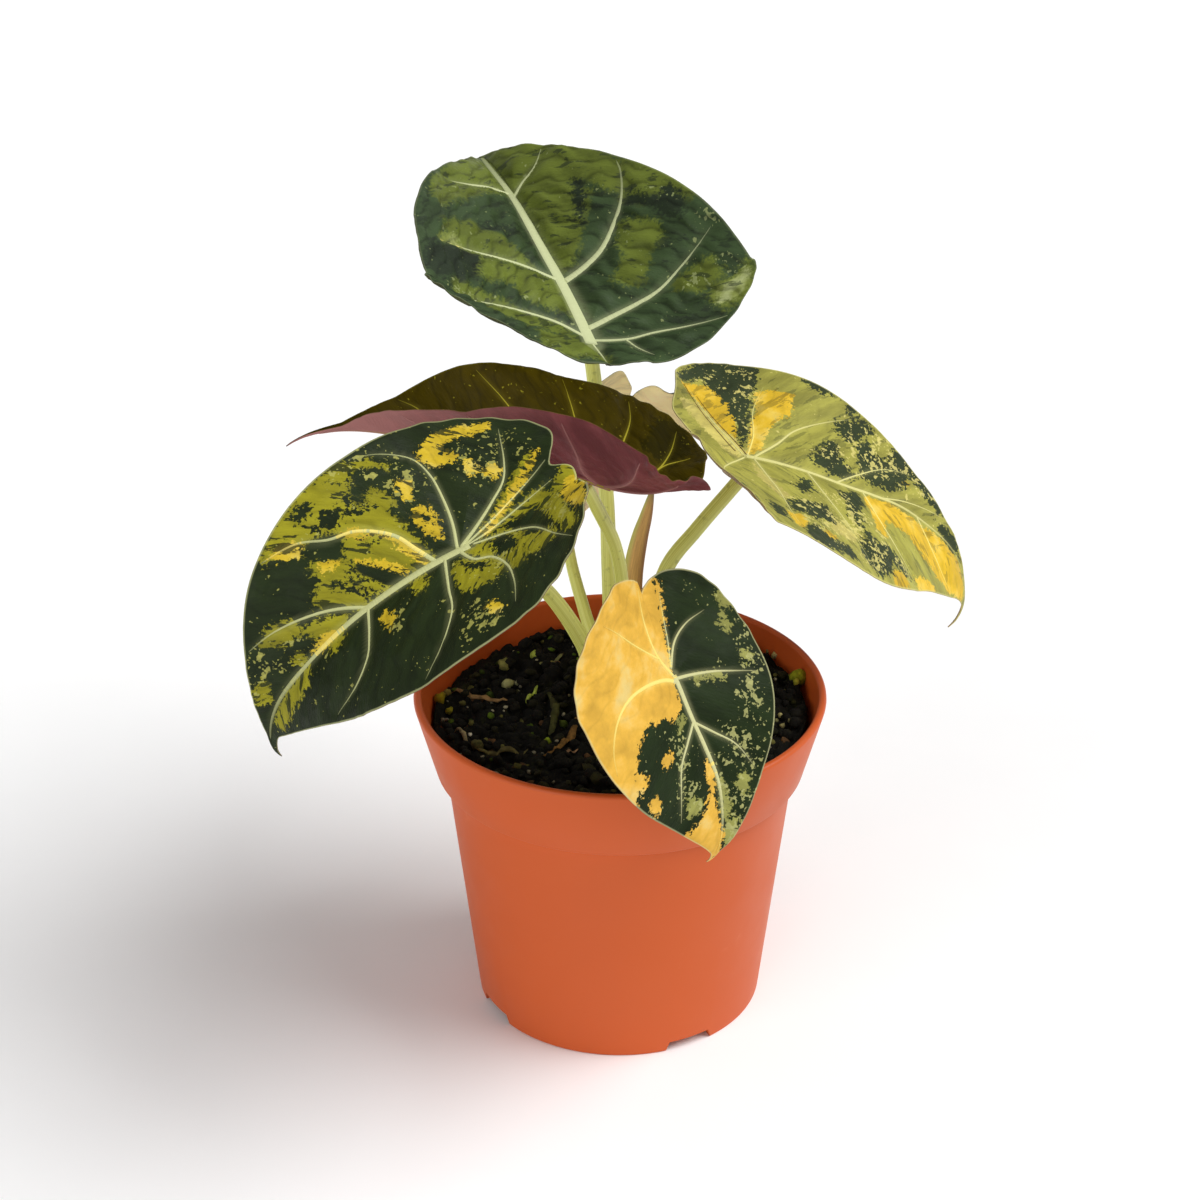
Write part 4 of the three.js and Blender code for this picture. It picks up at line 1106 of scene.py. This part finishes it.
    def underside(self):
        """The face below, paler toward the tip and beside the ribs."""
        below = self.tones["below"]
        skin = self.mix(self.step(self.cloud, *NARROW), self.tint(below, 0.72), self.tint(below, 1.12))
        along = self.node("ShaderNodeSeparateXYZ", {0: self.flat}).outputs[1]
        skin = self.mix(self.step(along, 0.015, 0.075, 0.0, 0.6), skin, self.tones["below_rib"])
        return self.mix(self.maths("MULTIPLY", self.glow, 0.5), skin, self.tones["below_rib"])

    def finished(self):
        """The whole material, with a net of fine pebbles for its velvet."""
        skin, gold_share = self.golden(self.ground())
        skin = self.speckled(self.darkened(skin), gold_share)
        skin = self.veined(self.shaded_in_creases(skin), gold_share)
        skin = self.mix(self.attribute("under"), skin, self.underside())
        net = self.step(self.cracks(self.grain, LEAF_NOISE.net), 0.0, 0.3, 0.0, 0.5)
        pebbles = self.maths("ADD", net, self.noise(self.flat, LEAF_NOISE.pebble, detail=3))
        shine = self.noise(self.flat, LEAF_NOISE.shine)
        return self.finish(
            Base_Color=skin, Roughness=self.step(shine, *WIDE, 0.45, 0.58),
            Normal=self.bump(pebbles, 0.35, 0.00025), Specular_IOR_Level=self.look.gloss)


# Petioles and sheath
def stalk(points, radius, sides, flat=1.0, groove=0.0):
    """A stalk along a path in mm, with a radius at each step: vertices, faces and attributes."""
    count = len(radius)
    path = smooth_path(points, count)
    ahead = unit(np.gradient(path, axis=0))
    side = unit(np.cross((0, 1, 0), ahead))
    out = np.cross(ahead, side)
    turn = 2 * math.pi * np.arange(sides) / sides
    ring = 1 - groove * np.exp(-((turn - math.pi / 2) / GROOVE.width) ** 2)
    across = radius[:, None] * ring * np.cos(turn)
    outward = radius[:, None] * ring * flat * np.sin(turn)
    vertices = path[:, None] + side[:, None] * across[..., None] + out[:, None] * outward[..., None]
    attributes = {
        "along": np.repeat(np.linspace(0, 1, count), sides),
        "cosine": np.tile(np.cos(turn), count), "sine": np.tile(np.sin(turn), count),
    }
    return vertices.reshape(-1, 3), tube_faces(count, sides), attributes


def petiole_piece(name, material):
    """A petiole from the crown to the underside of its blade, thinning fast from its foot."""
    leaf = LEAVES[name]
    stem = PETIOLES[name]
    at = np.zeros(1), np.array([float(stem.meets)])
    end = leaf_point(leaf, *at)[0] - leaf_normal(leaf, *at)[0] * stem.neck * NECK_DEPTH
    share = np.linspace(0, 1, PETIOLE_MESH.steps + 1)
    radius = stem.neck + (stem.foot - stem.neck) * (1 - share) ** PETIOLE_TAPER
    vertices, faces, attributes = stalk([*stem.path, tuple(end)], radius, PETIOLE_MESH.sides)
    piece = add_mesh(f"stalk_{name}", in_row(vertices), faces, attributes)
    dress(piece, material, "petiole_green", f"petiole_{name}")


def sheath_piece(material):
    """The dry sheath, flat and grooved, broad for most of its height."""
    share = np.linspace(0, 1, SHEATH_MESH.steps + 1)
    radius = SHEATH.tip + (SHEATH.foot - SHEATH.tip) * (1 - share ** SHEATH.taper)
    vertices, faces, attributes = stalk(
        SHEATH.path, radius, SHEATH_MESH.sides, flat=SHEATH.flat, groove=GROOVE.depth)
    piece = add_mesh("dry_sheath", in_row(vertices), faces, attributes)
    dress(piece, material, "dry_sheath", "cataphyll")


def petiole_material():
    """Pale green stalks with fine lengthwise streaks and a few darker flecks."""
    shader = Shader("petiole")
    along = shader.maths("MULTIPLY", shader.attribute("along"), 0.01)
    line = shader.point(shader.attribute("cosine"), shader.attribute("sine"), along)
    streak = shader.noise(line, 7, detail=5, roughness=0.6)
    tone = shader.mix(shader.step(streak, *NARROW), *(colour(*tone) for tone in PETIOLE_TONES))
    flecks = shader.step(shader.noise(shader.place(), 420, detail=3), 0.6, 0.72, 0.0, 0.35)
    tone = shader.mix(flecks, tone, colour(*FLECK_TONE))
    height = shader.maths("ADD", streak, shader.noise(shader.place(), 1500))
    return shader.finish(
        Base_Color=tone, Roughness=shader.step(streak, *WIDE, 0.36, 0.48),
        Normal=shader.bump(height, 0.25, 0.0002), Specular_IOR_Level=0.35)


def sheath_material():
    """A drying sheath, brown with a green margin on its left and purple brown on its right."""
    shader = Shader("dry sheath")
    tones = {key: colour(*tone) for key, tone in SHEATH_TONES.items()}
    along = shader.attribute("along")
    side = shader.attribute("cosine")
    line = shader.point(side, shader.attribute("sine"), along)
    streak = shader.noise(line, 9, detail=6, roughness=0.65)
    tone = shader.mix(shader.step(streak, *WIDE), tones["pale"], tones["brown"])
    tone = shader.mix(shader.step(side, 0.2, 0.9, 0.0, 0.6), tone, tones["purple"])
    tone = shader.mix(shader.step(side, -0.9, -0.3, 0.85, 0.0), tone, tones["green"])
    tone = shader.mix(shader.step(along, 0.9, 1.0, 0.0, 0.7), tone, tones["tip"])
    height = shader.maths("ADD", streak, shader.noise(shader.place(), 900))
    return shader.finish(
        Base_Color=tone, Roughness=shader.step(streak, *WIDE, 0.6, 0.75),
        Normal=shader.bump(height, 0.4, 0.0003), Specular_IOR_Level=0.25)


# Pot
def lathe(profile, sides):
    """A closed turned solid from (radius, height) points in mm that start and end on the axis."""
    vertices = []
    rings = []
    turns = 2 * math.pi * np.arange(sides) / sides
    for radius, height in profile:
        corners = [(radius * math.cos(turn), radius * math.sin(turn), height) for turn in turns]
        if radius < 1e-6:
            corners = [(0.0, 0.0, height)]
        rings.append(range(len(vertices), len(vertices) + len(corners)))
        vertices.extend(corners)
    faces = []
    for lower, upper in zip(rings[:-1], rings[1:]):
        for i in range(sides):
            j = (i + 1) % sides
            if len(lower) == 1:
                faces.append((lower[0], upper[j], upper[i]))
            elif len(upper) == 1:
                faces.append((lower[i], lower[j], upper[0]))
            else:
                faces.append((lower[i], lower[j], upper[j], upper[i]))
    return np.array(vertices), faces


def arc(centre, radii, start, end, steps):
    """Points on an arc in the profile's plane."""
    angles = [math.radians(start + (end - start) * i / steps) for i in range(steps + 1)]
    return [(centre[0] + radii[0] * math.cos(a), centre[1] + radii[1] * math.sin(a)) for a in angles]


def turned_about(points, angle):
    """Points turned about the pot's axis by an angle in radians."""
    x, y, z = np.asarray(points, float).T
    c, s = math.cos(angle), math.sin(angle)
    return np.stack([x * c - y * s, x * s + y * c, z], -1)


def cut(piece, tool):
    """Takes the tool's volume out of the piece and removes the tool."""
    modifier = piece.modifiers.new("cut", "BOOLEAN")
    modifier.operation = "DIFFERENCE"
    modifier.solver = "EXACT"
    modifier.object = tool
    graph = bpy.context.evaluated_depsgraph_get()
    mesh = bpy.data.meshes.new_from_object(piece.evaluated_get(graph))
    piece.modifiers.clear()
    piece.data = mesh
    bpy.data.objects.remove(tool, do_unlink=True)


def pot_profile():
    """The pot's section from the middle of its underside round to the middle of its floor."""
    half = LIP / 2
    edge = FOOT.edge
    return [
        (0, FOOT.height), (BASE_RADIUS - FOOT.width, FOOT.height), (BASE_RADIUS - FOOT.width, 0),
        (BASE_RADIUS - edge, 0), *arc((BASE_RADIUS - edge, edge), (edge, edge), -60, 0, 3),
        (COLLAR.step_radius, COLLAR.step_bottom),
        (COLLAR.radius - COLLAR.edge, COLLAR.bottom - COLLAR.edge),
        (COLLAR.radius - COLLAR_EASE[0], COLLAR.bottom - COLLAR_EASE[1]),
        (COLLAR.radius, COLLAR.bottom),
        *arc((RIM_RADIUS - half, POT_HEIGHT - half), (half, half), 0, 180, 12),
        (COLLAR.radius - WALL, COLLAR.bottom), (COLLAR.step_radius - WALL, COLLAR.step_bottom),
        (INNER_BASE, FLOOR + edge), (INNER_BASE - edge, FLOOR), (0, FLOOR),
    ]


def notch_wedge():
    """The space of one notch in the foot ring, ahead along x."""
    run = BASE_RADIUS * math.radians(NOTCH.width) / 2
    top = run - NOTCH.taper
    section = [(-run, -WALL), (run, -WALL), (top, NOTCH.height), (-top, NOTCH.height)]
    start = BASE_RADIUS - NOTCH.depth / 2 - FOOT.width
    points = [(out, y, z) for out in (start, start + NOTCH.depth) for y, z in section]
    return points, tube_faces(2, len(section))


def pot_piece(material):
    """The nursery pot, with its notches and drain holes cut out."""
    vertices, faces = lathe(pot_profile(), POT_SIDES)
    pot = add_mesh("nursery_pot", in_row(vertices), faces)
    bore = [(0, 0), (DRAIN.radius, 0), (DRAIN.radius, 2 * FLOOR), (0, 2 * FLOOR)]
    hole, hole_faces = lathe(bore, DRAIN.sides)
    wedge, wedge_faces = notch_wedge()
    for i in range(NOTCH.count):
        turn = math.radians(NOTCH.first + 360 * i / NOTCH.count)
        cut(pot, add_mesh("notch", in_row(turned_about(wedge, turn)), wedge_faces))
        cut(pot, add_mesh("drain", in_row(turned_about(hole + (DRAIN.ring, 0, 0), turn)), hole_faces))
    pot.data.shade_smooth()
    pot.data.set_sharp_from_angle(angle=math.radians(POT_SHARP))
    dress(pot, material, "pot_plastic", "pot")


def pot_material():
    """Matt orange plastic with faint cloudiness, scuffs and moulding grain."""
    shader = Shader("pot plastic")
    place = shader.place()
    tone = shader.mix(shader.noise(place, 14), *(colour(*tone) for tone in POT_TONES))
    scuff = shader.step(shader.noise(place, 60, detail=8, roughness=0.75), 0.62, 0.74, 0.0, 0.16)
    tone = shader.mix(scuff, tone, colour(*SCUFF_TONE))
    return shader.finish(
        Base_Color=tone, Roughness=shader.step(shader.noise(place, 40), *WIDE, 0.4, 0.5),
        Normal=shader.bump(shader.noise(place, 900, detail=3), 0.06, 0.0002), Specular_IOR_Level=0.3)


# Potting mix
def soil_height(x, y):
    """The level of the mix with its slope and its broad clods."""
    broad = 0.75 * np.sin(0.31 * x + 1.1) * np.cos(0.27 * y - 0.4)
    slanted = 0.5 * np.sin(0.62 * x - 0.45 * y)
    crossing = 0.35 * np.cos(0.55 * x + 0.8 * y + 2)
    return SOIL.level + SOIL.slope_x * x + SOIL.slope_y * y + (broad + slanted + crossing)


def crumbs(x, y):
    """Small seeded clods as a sum of turned waves."""
    draw = random.Random(CRUMBS.seed)
    total = np.zeros_like(x)
    for size in CRUMBS.sizes:
        for _ in range(CRUMBS.waves):
            turn = draw.uniform(0, 2 * math.pi)
            phase = draw.uniform(0, 2 * math.pi)
            wave = np.sin((x * math.cos(turn) + y * math.sin(turn)) * 2 * math.pi / size + phase)
            total += wave * size * CRUMBS.height
    return total


def soil_top(x, y):
    """Height of the mix at one place."""
    x, y = np.array([x], float), np.array([y], float)
    return float((soil_height(x, y) + crumbs(x, y))[0])


def grain(draw, ball, place, radius, flat, tone):
    """A rough flattened ball that lies on the mix: vertices, faces and colour."""
    points, faces = ball
    tilt = GRAIN.tilt
    stretch = np.array([draw.uniform(*pair) for pair in GRAIN.stretch]) * (1, 1, flat)
    rough = np.array([[draw.uniform(*GRAIN.rough)] for _ in points])
    turn = Euler([draw.uniform(-tilt, tilt), draw.uniform(-tilt, tilt), draw.uniform(0, GRAIN.turn)])
    shape = (points * rough * stretch * radius) @ np.array(turn.to_matrix()).T
    shift = (*place, soil_top(*place) + GRAIN.lift * radius * flat)
    pale = draw.uniform(*GRAIN.pale)
    return shape + shift, faces, tuple(min(255, part * pale) for part in tone)


def shred(draw, start, end, half, tone):
    """A flat curled shred, thick in the middle and split to a point at each end."""
    steps, sides = SHRED.steps, SHRED.sides
    across = np.array([end[1] - start[1], start[0] - end[0]])
    side = across / np.linalg.norm(across)
    across = across * draw.uniform(-SHRED.bow, SHRED.bow)
    points = []
    for i in range(steps + 1):
        share = i / steps
        bulge = math.sin(math.pi * share)
        x, y = (1 - share) * np.array(start) + share * np.array(end) + across * bulge
        height = soil_top(x, y) + SHRED.lift + SHRED.rise * share
        width = half * (SHRED.ends + (1 - SHRED.ends) * bulge ** 0.5) * draw.uniform(*SHRED.ragged)
        for k in range(sides):
            turn = 2 * math.pi * k / sides
            shift = side * width * math.cos(turn)
            points.append((x + shift[0], y + shift[1], height + SHRED.thick * width * math.sin(turn)))
    return np.array(points), tube_faces(steps + 1, sides), tone


def soil_bits():
    """Seeded grains, the clumps and the shreds that lie on the mix, as (vertices, faces, colour)."""
    draw = random.Random(GRAIN.seed)
    ball = lathe(GRAIN.profile, GRAIN.sides)
    spots = []
    for count, least, most, flat, tone in GRAINS:
        for _ in range(count):
            out = (SOIL.radius - GRAIN.edge) * math.sqrt(draw.random())
            turn = draw.uniform(0, 2 * math.pi)
            place = (out * math.cos(turn), out * math.sin(turn))
            spots.append((place, draw.uniform(least, most), flat, tone))
    spots += [(place, radius, CLUMP_FLATNESS, tone) for place, radius, tone in CLUMPS]
    return [grain(draw, ball, *spot) for spot in spots] + [shred(draw, *row) for row in SHREDS]


def soil_piece(material):
    """The plug of mix in the pot with its rough top and everything that lies on it."""
    rings = SOIL.rings
    base = FLOOR + PLUG.gap
    profile = [
        (0, base), (INNER_BASE - PLUG.side, base), (PLUG.bend, COLLAR.step_bottom - PLUG.step),
        (PLUG.neck, COLLAR.bottom + PLUG.step),
    ]
    first = 1 + (len(profile) - 1) * SOIL.sides
    profile += [(SOIL.radius * i / rings, SOIL.level) for i in range(rings, -1, -1)]
    vertices, faces = lathe(profile, SOIL.sides)
    top = vertices[first:]
    top[:, 2] = soil_height(top[:, 0], top[:, 1]) + crumbs(top[:, 0], top[:, 1])
    parts = [(vertices, faces, PEAT_TONE), *soil_bits()]
    tones = np.vstack([np.tile(colour(*tone)[:3], (len(points), 1)) for points, _, tone in parts])
    vertices, faces = joined(parts)
    piece = add_mesh("potting_mix", in_row(vertices), faces, {"tone": tones})
    dress(piece, material, "potting_mix", "soil")


def soil_material():
    """Near black damp peat; each bit carries its own tone, mottled by noise and a little algae."""
    shader = Shader("peat")
    place = shader.place()
    mottle = shader.step(shader.noise(place, 500, detail=4), *WIDE, 0.55, 1.35)
    tone = shader.mix(1.0, shader.attribute("tone", vector=True), shader.grey(mottle), "MULTIPLY")
    algae = shader.step(shader.noise(place, 130, detail=5, roughness=0.7), 0.56, 0.68, 0.0, 0.3)
    tone = shader.mix(algae, tone, colour(*ALGAE_TONE))
    height = shader.noise(place, 1500, detail=4)
    return shader.finish(
        Base_Color=tone, Roughness=shader.step(height, *WIDE, 0.8, 0.95),
        Normal=shader.bump(height, 0.7, 0.0005), Specular_IOR_Level=0.15)


def crown_piece(material):
    """The short stem that the petioles grow from, domed and folded."""
    radii = (CROWN.radius, CROWN.top - CROWN.shoulder)
    dome = arc((0, CROWN.shoulder), radii, 0, 90, CROWN_STEPS.dome)
    dome[-1] = (0, CROWN.top)
    profile = [(0, CROWN.bottom), (CROWN.radius, CROWN.bottom), *dome]
    vertices, faces = lathe(profile, CROWN_STEPS.sides)
    turn = np.arctan2(vertices[:, 1], vertices[:, 0])
    out = np.hypot(vertices[:, 0], vertices[:, 1])
    fold = 1 - np.cos(CROWN_FOLDS.count * turn + CROWN_FOLDS.swirl * out)
    vertices[:, 2] -= CROWN_FOLDS.depth * fold * out / CROWN.radius
    piece = add_mesh("crown_base", in_row(vertices + (CROWN.x, CROWN.y, 0)), faces)
    dress(piece, material, "crown_green", "crown")


# Camera, floor and light
def stage_camera():
    view = bpy.data.cameras.new("camera")
    view.lens = CAMERA.lens
    view.sensor_width = CAMERA.sensor
    camera = bpy.data.objects.new("camera", view)
    camera.location = Vector(CAMERA.place) * MM
    camera.rotation_euler = Euler((math.radians(CAMERA.pitch), 0, 0))
    bpy.context.scene.collection.objects.link(camera)
    bpy.context.scene.camera = camera


def stage_floor():
    corners = [(x * FLOOR_REACH, y * FLOOR_REACH, 0) for x, y in ((-1, -1), (1, -1), (1, 1), (-1, 1))]
    floor = add_mesh("floor", corners, [(0, 1, 2, 3)])
    paper = Shader("floor paper")
    tone = paper.mix(paper.noise(paper.place(), 40), *(colour(*tone) for tone in PAPER_TONES))
    floor.data.materials.append(paper.finish(Base_Color=tone, Roughness=0.9))


def stage_light():
    scene = bpy.context.scene
    world = bpy.data.worlds.new("studio")
    world.use_nodes = True
    background = world.node_tree.nodes["Background"]
    background.inputs["Color"].default_value = (1, 1, 1, 1)
    background.inputs["Strength"].default_value = SKY
    scene.world = world
    scene.view_settings.view_transform = "Standard"
    for name, toward, strength, spread in LAMPS:
        light = bpy.data.lights.new(name, "SUN")
        light.energy = strength
        light.angle = math.radians(spread)
        lamp = bpy.data.objects.new(name, light)
        lamp.location = toward
        lamp.rotation_euler = (-Vector(toward)).to_track_quat("-Z", "Y").to_euler()
        scene.collection.objects.link(lamp)


stage_camera()
stage_floor()
stage_light()
pot_piece(pot_material())
soil_piece(soil_material())
green = petiole_material()
crown_piece(green)
for leaf_name in LEAVES:
    blade_piece(leaf_name, LeafShader(leaf_name).finished())
    petiole_piece(leaf_name, green)
sheath_piece(sheath_material())
